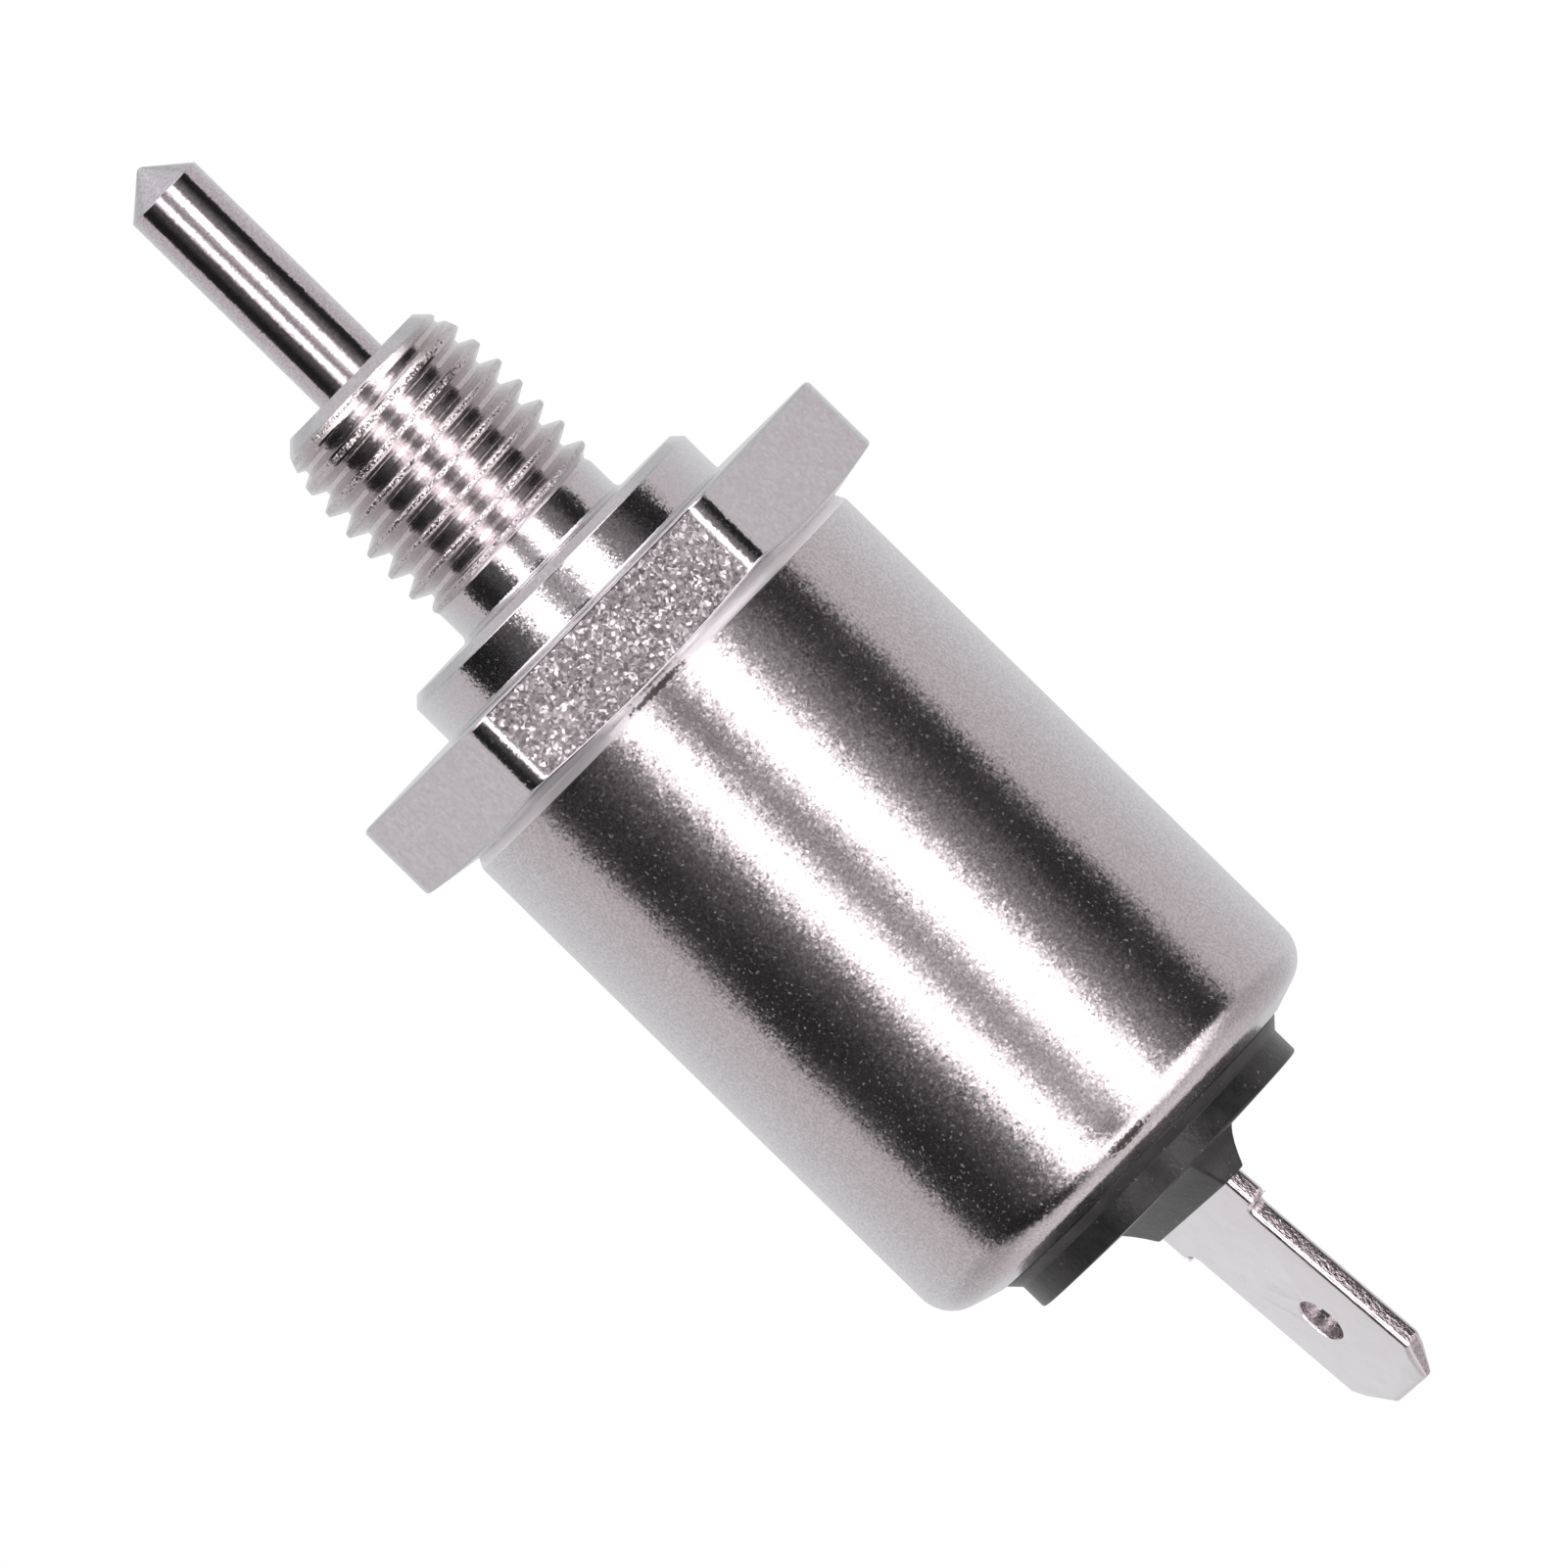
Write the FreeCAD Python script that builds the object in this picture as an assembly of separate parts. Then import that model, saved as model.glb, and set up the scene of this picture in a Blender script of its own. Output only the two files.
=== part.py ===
import FreeCAD, Part
import math
import os

# Fuel shutoff solenoid of a carburettor: a threaded valve body with a hexagon, a drawn can with the
# coil in it, a spring-loaded needle pin that closes the fuel jet, and one blade terminal.
# Millimetres. +Z runs along the needle pin to its point. The origin is on the axis, in the face of
# the collar that seats on the float bowl. Heights below the seat are negative.

# Clearances
press_fit = 0.02
seal_fit = 0.03
running_fit = 0.05
stack_gap = 0.02
stop_gap = 0.05

# Threaded stud, at the crest diameter of its M8 x 1 thread
stud_diameter = 7.93
stud_length = 9.17
stud_face_diameter = 5.97
stud_face_chamfer = 0.44
stud_lead_in_length = 2.2
neck_diameter = 7.32
neck_length = 1.3
neck_root_chamfer = 0.35
pin_bore_clearance = 0.1
pin_bore_chamfer = 0.2

# Seating collar and wrench hexagon
collar_diameter = 13.02
collar_height = 1.98
collar_chamfer = 0.34
hex_across_flats = 19.0
hex_height = 3.22
hex_corner_radius = 1.0
hex_edge_radius = 0.18
hex_rear_chamfer_angle = 12
hex_rear_land = 0.12

# Shoulder and spigot behind the hexagon
shoulder_height = 0.18
seam_chamfer_depth = 0.05
seam_chamfer_run = 0.16
spigot_length = 2.5
spigot_chamfer = 0.3

# Drawn can, crimped over the tail insulator
can_diameter = 17.66
can_wall = 0.7
can_corner_radius = 1.5
crimp_angle = 18
crimp_opening_diameter = 13.14

# Needle pin
pin_diameter = 3.0
pin_reach = 19.36
pin_point_half_angle = 49.8
pin_point_flat = 0.12
pin_end_chamfer = 0.2

# Armature
armature_diameter = 7.0
armature_length = 12.5
armature_chamfer = 0.3
armature_seat_depth = 1.42
plunger_travel = 2.7
pin_socket_depth = 5.0
fuel_groove_width = 1.0
fuel_groove_depth = 0.7

# Return spring and its pockets
spring_wire = 0.4
spring_mean_diameter = 3.6
spring_active_turns = 6.0
spring_closed_turns = 1.25
spring_closed_pitch = 1.05
spring_pocket_clearance = 0.3
armature_pocket_depth = 6.0
core_pocket_depth = 2.0

# Guide tube, fixed core and shim
guide_tube_wall = 0.45
guide_tube_chamfer = 0.1
shim_thickness = 0.2
core_stem_diameter = 4.4
core_head_diameter = 6.0
core_head_height = 0.5
core_head_chamfer = 0.25

# Coil
bobbin_length = 16.93
bobbin_diameter = 15.8
bobbin_flange = 0.8
bobbin_hub_wall = 0.7
winding_diameter = 14.4
tape_thickness = 0.2

# Seal rings, by the diameter of their section
front_seal_section = 1.1
front_seal_groove_depth = 1.15
front_seal_play = 0.06
rear_seal_section = 0.9

# Rear flux plate and insulating washer
flux_plate_thickness = 1.3
washer_ledge = 0.45
washer_thickness = 0.25

# Tail insulator
insulator_socket_clearance = 0.23
insulator_socket_depth = 2.1
insulator_neck_diameter = 13.0
insulator_disc_diameter = 12.24
insulator_taper_run = 0.4
insulator_disc_height = 0.98
insulator_crown = 0.2
insulator_edge_chamfer = 0.08
boss_base_width = 9.3
boss_base_thickness = 2.0
boss_end_width = 7.85
boss_end_thickness = 1.02
boss_height = 1.37

# Blade terminal, measured along its own slightly bent axis
terminal_turn = -66.7
terminal_lean = 4.15
terminal_bend_depth = 0.35
terminal_thickness = 0.8
terminal_root_width = 7.65
terminal_root_reach = 1.19
terminal_shoulder_fillet = 0.3
blade_width = 6.3
blade_length = 8.4
blade_point_length = 1.3
blade_point_width = 3.3
blade_bevel_length = 0.9
blade_bevel_depth = 0.22
blade_hole_diameter = 1.8
blade_hole_from_tip = 3.9
tag_width = 3.0
tag_length = 1.0

# Coil leads and their solder joints
lead_diameter = 0.4
lead_bend_radius = 0.6
live_lead_clearance = 0.3
live_lead_spacing = 0.05
ground_hole_diameter = 1.2
ground_hole_inset = 0.3
ground_solder_depth = 0.9
live_solder_diameter = 1.2

# Radii that several pieces share
stud_radius = stud_diameter / 2
neck_radius = neck_diameter / 2
collar_radius = collar_diameter / 2
can_radius = can_diameter / 2
can_bore_radius = can_radius - can_wall
pin_radius = pin_diameter / 2
armature_radius = armature_diameter / 2
tube_bore_radius = armature_radius + running_fit
tube_radius = tube_bore_radius + guide_tube_wall
hub_bore_radius = tube_radius + press_fit
hub_radius = hub_bore_radius + bobbin_hub_wall
winding_radius = winding_diameter / 2
spring_pocket_radius = (spring_mean_diameter + spring_wire) / 2 + spring_pocket_clearance
lead_radius = lead_diameter / 2
live_lead_place = hub_radius + live_lead_spacing + lead_radius
ground_lead_place = winding_radius - ground_hole_inset
insulator_flange_radius = can_bore_radius - seal_fit - rear_seal_section - press_fit
socket_radius = live_lead_place + lead_radius + insulator_socket_clearance
washer_radius = socket_radius + washer_ledge

# Heights of the stack along the axis, from the seat towards the tail
hex_front = -collar_height
hex_rear = hex_front - hex_height
can_front = hex_rear - shoulder_height
spigot_end = can_front - spigot_length
armature_stop = hex_front - armature_seat_depth
armature_front = armature_stop - stop_gap
armature_rear = armature_front - armature_length
shim_front = armature_rear - plunger_travel - stop_gap
core_front = shim_front - shim_thickness
bobbin_front = spigot_end - stack_gap
bobbin_rear = bobbin_front - bobbin_length
flux_plate_front = bobbin_rear - stack_gap
flux_plate_rear = flux_plate_front - flux_plate_thickness
core_head_rear = flux_plate_rear - core_head_height
washer_rear = core_head_rear - washer_thickness
rear_seal_height = flux_plate_rear - seal_fit - rear_seal_section / 2
socket_floor = flux_plate_rear - insulator_socket_depth
winding_front = bobbin_front - bobbin_flange - stack_gap
winding_rear = bobbin_rear + bobbin_flange + stack_gap

# Crimped lip of the can: a cone that meets the corner of the can in a smooth line
crimp_slope = math.tan(math.radians(crimp_angle))
crimp_radius = crimp_opening_diameter / 2
crimp_edge_height = (rear_seal_height - can_corner_radius / math.cos(math.radians(crimp_angle))
                     - (can_radius - can_corner_radius - crimp_radius) * crimp_slope)
neck_rear = crimp_edge_height
disc_front = neck_rear - insulator_taper_run
disc_rear = disc_front - insulator_disc_height
boss_rear = disc_rear - boss_height
terminal_pivot = disc_front - terminal_bend_depth


def rod(radius, top, bottom):
    return Part.makeCylinder(radius, top - bottom, FreeCAD.Vector(0, 0, bottom))


def turned(*outline):
    """Solid of revolution of a closed outline of (radius, height) points."""
    points = [FreeCAD.Vector(radius, 0, height) for radius, height in outline]
    face = Part.Face(Part.makePolygon(points + points[:1]))
    return face.revolve(FreeCAD.Vector(0, 0, 0), FreeCAD.Vector(0, 0, 1), 360)


def bush(outer_radius, inner_radius, top, bottom):
    return turned((inner_radius, top), (outer_radius, top), (outer_radius, bottom), (inner_radius, bottom))


def round_section(centre, across, first_side, second_side):
    """Eight-sided outline of a round section in the plane of two directions."""
    points = []
    for index in range(8):
        turn = math.radians(45 * index + 22.5)
        reach = first_side * math.cos(turn) + second_side * math.sin(turn)
        points.append(centre + reach * (across / 2))
    return Part.makePolygon(points + points[:1])


def seal_ring(centre_radius, centre_height, section):
    centre = FreeCAD.Vector(centre_radius, 0, centre_height)
    outline = round_section(centre, section, FreeCAD.Vector(1, 0, 0), FreeCAD.Vector(0, 0, 1))
    return Part.Face(outline).revolve(FreeCAD.Vector(0, 0, 0), FreeCAD.Vector(0, 0, 1), 360)


def round_edges(solid, radius, chosen):
    edges = [edge for edge in solid.Edges if chosen(edge)]
    return solid.makeFillet(radius, edges)


def in_terminal_frame(solid):
    """Turns a solid that was made with its width along X to the terminal's direction."""
    solid.rotate(FreeCAD.Vector(0, 0, 0), FreeCAD.Vector(0, 0, 1), terminal_turn)
    return solid


def terminal_offset(height):
    """How far the bent terminal has moved from the axis at this height."""
    return (terminal_pivot - height) * math.tan(math.radians(terminal_lean))


# Valve body

def body_turning():
    """Stud, neck, collar, shoulder and spigot as one turning."""
    chamfer_end = stud_length - stud_face_chamfer
    middle = (hex_front + hex_rear) / 2
    return turned(
        (0, stud_length),
        (stud_face_diameter / 2, stud_length),
        (stud_face_diameter / 2 + stud_face_chamfer, chamfer_end),
        (stud_radius, chamfer_end - stud_lead_in_length),
        (stud_radius, neck_length + stud_radius - neck_radius),
        (neck_radius, neck_length),
        (neck_radius, neck_root_chamfer),
        (neck_radius + neck_root_chamfer, 0),
        (collar_radius - collar_chamfer, 0),
        (collar_radius, -collar_chamfer),
        (collar_radius, middle),
        (can_radius, middle),
        (can_radius, can_front + seam_chamfer_run),
        (can_radius - seam_chamfer_depth, can_front),
        (can_bore_radius - press_fit, can_front),
        (can_bore_radius - press_fit, spigot_end + spigot_chamfer),
        (can_bore_radius - press_fit - spigot_chamfer, spigot_end),
        (0, spigot_end))


def hexagon():
    """Wrench hexagon with rounded corners and front edges, and its rear face chamfered."""
    corner = hex_across_flats / math.sqrt(3)
    turns = [math.radians(60 * index) for index in range(6)]
    points = [FreeCAD.Vector(corner * math.cos(turn), corner * math.sin(turn), hex_rear) for turn in turns]
    outline = Part.Face(Part.makePolygon(points + points[:1]))
    prism = outline.extrude(FreeCAD.Vector(0, 0, hex_height))
    prism = round_edges(prism, hex_corner_radius, lambda edge: edge.BoundBox.ZLength > hex_height / 2)
    prism = round_edges(prism, hex_edge_radius, lambda edge: edge.BoundBox.ZMin > hex_front - 0.001)
    land_radius = hex_across_flats / 2 - hex_rear_land
    rise = (corner - land_radius) * math.tan(math.radians(hex_rear_chamfer_angle))
    chamfer = turned((0, hex_front), (corner, hex_front), (corner, hex_rear + rise),
                     (land_radius, hex_rear), (0, hex_rear))
    return prism.common(chamfer)


def valve_body():
    solid = body_turning().fuse(hexagon()).removeSplitter()
    bore_radius = pin_radius + pin_bore_clearance
    solid = solid.cut(rod(bore_radius, stud_length, spigot_end))
    solid = solid.cut(turned(
        (0, stud_length), (bore_radius + pin_bore_chamfer, stud_length),
        (bore_radius, stud_length - pin_bore_chamfer), (0, stud_length - pin_bore_chamfer)))
    solid = solid.cut(rod(tube_radius + press_fit, armature_stop, spigot_end))
    groove_radius = tube_radius + seal_fit + front_seal_section + front_seal_play
    return solid.cut(rod(groove_radius, spigot_end + front_seal_groove_depth, spigot_end))


# Casing

def can_wall_path(offset):
    """Edges of the can's outline, moved in from its outside by an offset."""
    slope = math.radians(crimp_angle)
    arc_radius = can_corner_radius - offset
    centre_radius = can_radius - can_corner_radius
    front = FreeCAD.Vector(can_radius - offset, 0, can_front)
    corner_start = FreeCAD.Vector(can_radius - offset, 0, rear_seal_height)
    half_turn = (math.pi / 2 - slope) / 2
    corner_middle = FreeCAD.Vector(centre_radius + arc_radius * math.cos(half_turn), 0,
                                   rear_seal_height - arc_radius * math.sin(half_turn))
    corner_end = FreeCAD.Vector(centre_radius + arc_radius * math.sin(slope), 0,
                                rear_seal_height - arc_radius * math.cos(slope))
    lip_drop = (corner_end.x - crimp_radius) * crimp_slope
    lip_edge = FreeCAD.Vector(crimp_radius, 0, corner_end.z - lip_drop)
    edges = [Part.LineSegment(front, corner_start).toShape(),
             Part.Arc(corner_start, corner_middle, corner_end).toShape(),
             Part.LineSegment(corner_end, lip_edge).toShape()]
    return edges, front, lip_edge


def casing_can():
    outside, front_outer, lip_outer = can_wall_path(0)
    inside, front_inner, lip_inner = can_wall_path(can_wall)
    mouth = Part.LineSegment(front_inner, front_outer).toShape()
    lip = Part.LineSegment(lip_outer, lip_inner).toShape()
    outline = Part.Wire(Part.__sortEdges__(outside + inside + [mouth, lip]))
    shell = Part.Face(outline).revolve(FreeCAD.Vector(0, 0, 0), FreeCAD.Vector(0, 0, 1), 360)
    seam = turned((can_radius - seam_chamfer_depth, can_front), (can_radius + seam_chamfer_depth, can_front),
                  (can_radius + seam_chamfer_depth, can_front - seam_chamfer_run),
                  (can_radius, can_front - seam_chamfer_run))
    return shell.cut(seam)


# Plunger: needle pin and armature

def needle_pin():
    point_length = (pin_radius - pin_point_flat / 2) / math.tan(math.radians(pin_point_half_angle))
    pin_end = armature_front - pin_socket_depth
    return turned(
        (0, pin_reach),
        (pin_point_flat / 2, pin_reach),
        (pin_radius, pin_reach - point_length),
        (pin_radius, pin_end + pin_end_chamfer),
        (pin_radius - pin_end_chamfer, pin_end),
        (0, pin_end))


def armature():
    """Soft iron slug with a socket for the pin, a spring pocket and two fuel grooves."""
    slug = turned(
        (0, armature_front),
        (armature_radius - armature_chamfer, armature_front),
        (armature_radius, armature_front - armature_chamfer),
        (armature_radius, armature_rear + armature_chamfer),
        (armature_radius - armature_chamfer, armature_rear),
        (0, armature_rear))
    socket = rod(pin_radius + press_fit, armature_front, armature_front - pin_socket_depth - stack_gap)
    pocket = rod(spring_pocket_radius, armature_rear + armature_pocket_depth, armature_rear)
    groove = Part.makeBox(2 * armature_radius, fuel_groove_width, armature_length,
                          FreeCAD.Vector(armature_radius - fuel_groove_depth, -fuel_groove_width / 2,
                                         armature_rear))
    opposite = groove.copy()
    opposite.rotate(FreeCAD.Vector(0, 0, 0), FreeCAD.Vector(0, 0, 1), 180)
    return slug.cut(socket).cut(pocket).cut(groove).cut(opposite)


def return_spring():
    """Compression spring with closed end turns, from the armature's pocket to the core's pocket."""
    top = armature_rear + armature_pocket_depth - stack_gap - spring_wire / 2
    bottom = core_front - core_pocket_depth + stack_gap + spring_wire / 2
    closed_pitch = spring_wire * spring_closed_pitch
    active_pitch = (top - bottom - 2 * spring_closed_turns * closed_pitch) / spring_active_turns
    steps_per_turn = 12
    step_count = round((spring_active_turns + 2 * spring_closed_turns) * steps_per_turn)
    active_end = spring_closed_turns + spring_active_turns
    points = []
    for step in range(step_count + 1):
        turn = step / steps_per_turn
        closed = min(turn, spring_closed_turns) + max(turn - active_end, 0)
        active = min(max(turn - spring_closed_turns, 0), spring_active_turns)
        height = top - closed * closed_pitch - active * active_pitch
        angle = 2 * math.pi * turn
        points.append(FreeCAD.Vector(spring_mean_diameter / 2 * math.cos(angle),
                                     spring_mean_diameter / 2 * math.sin(angle), height))
    path = Part.BSplineCurve()
    path.interpolate(points)
    across_wire = FreeCAD.Vector(1, 0, 0)
    along_wire = path.tangent(path.FirstParameter)[0]
    section = round_section(points[0], spring_wire, across_wire, along_wire.cross(across_wire))
    return Part.Wire([path.toShape()]).makePipeShell([section], True, True)


# Guide tube, fixed core and shim

def guide_tube():
    top = armature_stop - stack_gap
    bottom = flux_plate_front + stack_gap
    return turned(
        (tube_bore_radius, top),
        (tube_radius - guide_tube_chamfer, top),
        (tube_radius, top - guide_tube_chamfer),
        (tube_radius, bottom),
        (tube_bore_radius, bottom))


def fixed_core():
    """Pole piece with a stem that is staked over behind the rear flux plate."""
    pole_radius = tube_bore_radius - press_fit
    stem_radius = core_stem_diameter / 2
    head_radius = core_head_diameter / 2
    core = turned(
        (0, core_front),
        (pole_radius, core_front),
        (pole_radius, flux_plate_front),
        (stem_radius, flux_plate_front),
        (stem_radius, flux_plate_rear),
        (head_radius, flux_plate_rear),
        (head_radius, core_head_rear + core_head_chamfer),
        (head_radius - core_head_chamfer, core_head_rear),
        (0, core_head_rear))
    return core.cut(rod(spring_pocket_radius, core_front, core_front - core_pocket_depth))


def anti_stick_shim():
    return bush(armature_radius - armature_chamfer, spring_pocket_radius, shim_front, core_front)


# Coil

def lead_hole(place, turn, radius, top, bottom):
    """Cylinder parallel to the axis, on the terminal's line at this distance from the axis."""
    angle = math.radians(terminal_turn + turn)
    base = FreeCAD.Vector(place * math.cos(angle), place * math.sin(angle), bottom)
    return Part.makeCylinder(radius, top - bottom, base)


def live_hole(top, bottom):
    return lead_hole(live_lead_place, 0, lead_radius + live_lead_clearance, top, bottom)


def ground_hole(top, bottom):
    return lead_hole(ground_lead_place, 180, ground_hole_diameter / 2, top, bottom)


def bobbin():
    flange_radius = bobbin_diameter / 2
    spool = turned(
        (hub_bore_radius, bobbin_front),
        (flange_radius, bobbin_front),
        (flange_radius, bobbin_front - bobbin_flange),
        (hub_radius, bobbin_front - bobbin_flange),
        (hub_radius, bobbin_rear + bobbin_flange),
        (flange_radius, bobbin_rear + bobbin_flange),
        (flange_radius, bobbin_rear),
        (hub_bore_radius, bobbin_rear))
    flange_top = bobbin_rear + bobbin_flange
    live_notch = lead_hole(live_lead_place, 0, lead_radius + press_fit, flange_top, bobbin_rear)
    ground_notch = lead_hole(ground_lead_place, 180, lead_radius + press_fit, flange_top, bobbin_rear)
    return spool.cut(live_notch).cut(ground_notch)


def coil_winding():
    return bush(winding_radius, hub_radius + press_fit, winding_front, winding_rear)


def coil_tape():
    inner_radius = winding_radius + press_fit
    return bush(inner_radius + tape_thickness, inner_radius, winding_front, winding_rear)


# Rear stack

def rear_flux_plate():
    plate = bush(can_bore_radius - press_fit, core_stem_diameter / 2 + press_fit,
                 flux_plate_front, flux_plate_rear)
    plate = plate.cut(live_hole(flux_plate_front, flux_plate_rear))
    return plate.cut(ground_hole(flux_plate_front, flux_plate_rear))


def insulating_washer():
    """Fibre disc between the staked head of the core and the live tag."""
    disc = rod(washer_radius, core_head_rear, washer_rear)
    return disc.cut(lead_hole(live_lead_place, 0, lead_radius + press_fit, core_head_rear, washer_rear))


def front_seal_ring():
    centre_radius = tube_radius + seal_fit + front_seal_section / 2
    return seal_ring(centre_radius, spigot_end + front_seal_section / 2 + stack_gap, front_seal_section)


def rear_seal_ring():
    centre_radius = can_bore_radius - seal_fit - rear_seal_section / 2
    return seal_ring(centre_radius, rear_seal_height, rear_seal_section)


# Tail insulator

def boss():
    """Rectangular tapered boss that closes round the terminal's root."""
    wires = []
    sections = ((disc_rear, boss_base_width, boss_base_thickness, 0),
                (boss_rear, boss_end_width, boss_end_thickness, terminal_offset(boss_rear)))
    for height, width, thickness, offset in sections:
        corners = [(-width / 2, -thickness / 2), (width / 2, -thickness / 2),
                   (width / 2, thickness / 2), (-width / 2, thickness / 2)]
        points = [FreeCAD.Vector(x, y + offset, height) for x, y in corners]
        wires.append(Part.makePolygon(points + points[:1]))
    return in_terminal_frame(Part.makeLoft(wires, True, True))


def tail_insulator():
    """Moulded insulator: flange under the crimp, neck, round disc with a low crown, and terminal boss."""
    tail_neck_radius = insulator_neck_diameter / 2
    disc_radius = insulator_disc_diameter / 2
    lip_inside = crimp_edge_height + can_wall / math.cos(math.radians(crimp_angle)) + seal_fit
    flange_edge = lip_inside + (insulator_flange_radius - crimp_radius) * crimp_slope
    washer_seat_radius = washer_radius + press_fit
    moulding = turned(
        (washer_seat_radius, flux_plate_rear),
        (insulator_flange_radius, flux_plate_rear),
        (insulator_flange_radius, flange_edge),
        (tail_neck_radius, lip_inside),
        (tail_neck_radius, neck_rear),
        (disc_radius, disc_front),
        (disc_radius, disc_rear + insulator_edge_chamfer),
        (disc_radius - insulator_edge_chamfer, disc_rear),
        (disc_radius * 0.75, disc_rear - insulator_crown * 0.4),
        (disc_radius * 0.45, disc_rear - insulator_crown * 0.8),
        (0, disc_rear - insulator_crown),
        (0, socket_floor),
        (socket_radius, socket_floor),
        (socket_radius, washer_rear),
        (washer_seat_radius, washer_rear))
    return moulding.fuse(boss()).cut(terminal_plate(press_fit))


# Blade terminal

def plate_outline(grow):
    """Flat outline of the terminal, drawn in X and Z round its pivot, with its shoulder and tip heights."""
    root_half = terminal_root_width / 2 + grow
    blade_half = blade_width / 2 + grow
    point_half = blade_point_width / 2 + grow
    tag_half = tag_width / 2 + grow
    lean = math.cos(math.radians(terminal_lean))
    root_top = (socket_floor - terminal_pivot) / lean - terminal_root_reach + grow
    tag_top = (socket_floor - terminal_pivot) / lean + tag_length
    shoulder = (boss_rear - terminal_pivot) / lean - terminal_root_reach
    tip = shoulder - blade_length
    half = [(tag_half, tag_top), (tag_half, root_top), (root_half, root_top), (root_half, shoulder),
            (blade_half, shoulder), (blade_half, tip + blade_point_length), (point_half, tip)]
    outline = half + [(-x, z) for x, z in reversed(half)]
    points = [FreeCAD.Vector(x, 0, z) for x, z in outline]
    return Part.makePolygon(points + points[:1]), shoulder, tip


def terminal_plate(grow):
    """Terminal before its hole and bevels, leaned and turned into place, and grown for its slot."""
    outline, shoulder, tip = plate_outline(grow)
    thickness = terminal_thickness + 2 * grow
    plate = Part.Face(outline).extrude(FreeCAD.Vector(0, thickness, 0))
    plate.translate(FreeCAD.Vector(0, -thickness / 2, 0))
    return place_terminal(plate)


def place_terminal(plate):
    """Leans a plate about its pivot and turns it to its direction."""
    plate.rotate(FreeCAD.Vector(0, 0, 0), FreeCAD.Vector(1, 0, 0), terminal_lean)
    plate.translate(FreeCAD.Vector(0, 0, terminal_pivot))
    return in_terminal_frame(plate)


def blade_terminal():
    outline, shoulder, tip = plate_outline(0)
    plate = Part.Face(outline).extrude(FreeCAD.Vector(0, terminal_thickness, 0))
    plate.translate(FreeCAD.Vector(0, -terminal_thickness / 2, 0))
    plate = round_edges(plate, terminal_shoulder_fillet, lambda edge: is_shoulder_corner(edge, shoulder))
    hole = Part.makeCylinder(blade_hole_diameter / 2, 2 * terminal_thickness,
                             FreeCAD.Vector(0, -terminal_thickness, tip + blade_hole_from_tip),
                             FreeCAD.Vector(0, 1, 0))
    plate = plate.cut(hole)
    for side in (1, -1):
        plate = plate.cut(entry_bevel(tip, side))
    return place_terminal(plate)


def is_shoulder_corner(edge, shoulder):
    """True for the inner and outer corners of the step from the root to the blade."""
    centre = edge.CenterOfMass
    return edge.BoundBox.YLength > terminal_thickness / 2 and abs(centre.z - shoulder) < 0.001


def entry_bevel(tip, side):
    """Wedge that thins one face of the blade towards its tip."""
    face = side * terminal_thickness / 2
    outline = [(face, tip + blade_bevel_length), (face - side * blade_bevel_depth, tip),
               (face + side * blade_bevel_depth, tip)]
    points = [FreeCAD.Vector(-blade_width, y, z) for y, z in outline]
    wedge = Part.Face(Part.makePolygon(points + points[:1]))
    return wedge.extrude(FreeCAD.Vector(2 * blade_width, 0, 0))


# Leads and solder

def live_lead():
    """Coil end that rises through the rear stack and turns in to the terminal's tag."""
    run_height = (washer_rear + socket_floor) / 2
    tag_edge = tag_width / 2 + stack_gap
    start = FreeCAD.Vector(live_lead_place, 0, winding_rear)
    bend_start = FreeCAD.Vector(live_lead_place, 0, run_height + lead_bend_radius)
    bend_end = FreeCAD.Vector(live_lead_place - lead_bend_radius, 0, run_height)
    reach = lead_bend_radius * (1 - math.sqrt(0.5))
    bend_middle = FreeCAD.Vector(live_lead_place - reach, 0, run_height + reach)
    end = FreeCAD.Vector(tag_edge, 0, run_height)
    path = Part.Wire([Part.LineSegment(start, bend_start).toShape(),
                      Part.Arc(bend_start, bend_middle, bend_end).toShape(),
                      Part.LineSegment(bend_end, end).toShape()])
    section = Part.Wire([Part.makeCircle(lead_radius, start, FreeCAD.Vector(0, 0, -1))])
    return in_terminal_frame(path.makePipeShell([section], True, False))


def ground_lead():
    return lead_hole(ground_lead_place, 180, lead_radius, winding_rear, flux_plate_rear)


def live_solder():
    """Drop of solder round the end of the live lead, against the tag's edge."""
    run_height = (washer_rear + socket_floor) / 2
    centre = FreeCAD.Vector(tag_width / 2 + stack_gap, 0, run_height)
    drop = in_terminal_frame(Part.makeSphere(live_solder_diameter / 2, centre))
    return drop.cut(live_lead()).cut(terminal_plate(0)).cut(rod(can_bore_radius, can_front, washer_rear))


def ground_solder():
    """Plug of solder that ties the ground lead to the rear flux plate."""
    plug = lead_hole(ground_lead_place, 180, ground_hole_diameter / 2 - press_fit,
                     flux_plate_rear + ground_solder_depth, flux_plate_rear)
    return plug.cut(ground_lead())


pieces = {
    "valve_body": valve_body,
    "casing_can": casing_can,
    "needle_pin": needle_pin,
    "armature": armature,
    "return_spring": return_spring,
    "guide_tube": guide_tube,
    "fixed_core": fixed_core,
    "anti_stick_shim": anti_stick_shim,
    "bobbin": bobbin,
    "coil_winding": coil_winding,
    "coil_tape": coil_tape,
    "rear_flux_plate": rear_flux_plate,
    "insulating_washer": insulating_washer,
    "front_seal_ring": front_seal_ring,
    "rear_seal_ring": rear_seal_ring,
    "tail_insulator": tail_insulator,
    "blade_terminal": blade_terminal,
    "live_lead": live_lead,
    "ground_lead": ground_lead,
    "live_solder": live_solder,
    "ground_solder": ground_solder,
}

os.makedirs("parts", exist_ok=True)
for name, make in pieces.items():
    make().exportStep("parts/" + name + ".step")
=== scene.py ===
import math

import bmesh
import bpy
from mathutils import Matrix, Vector


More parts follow.
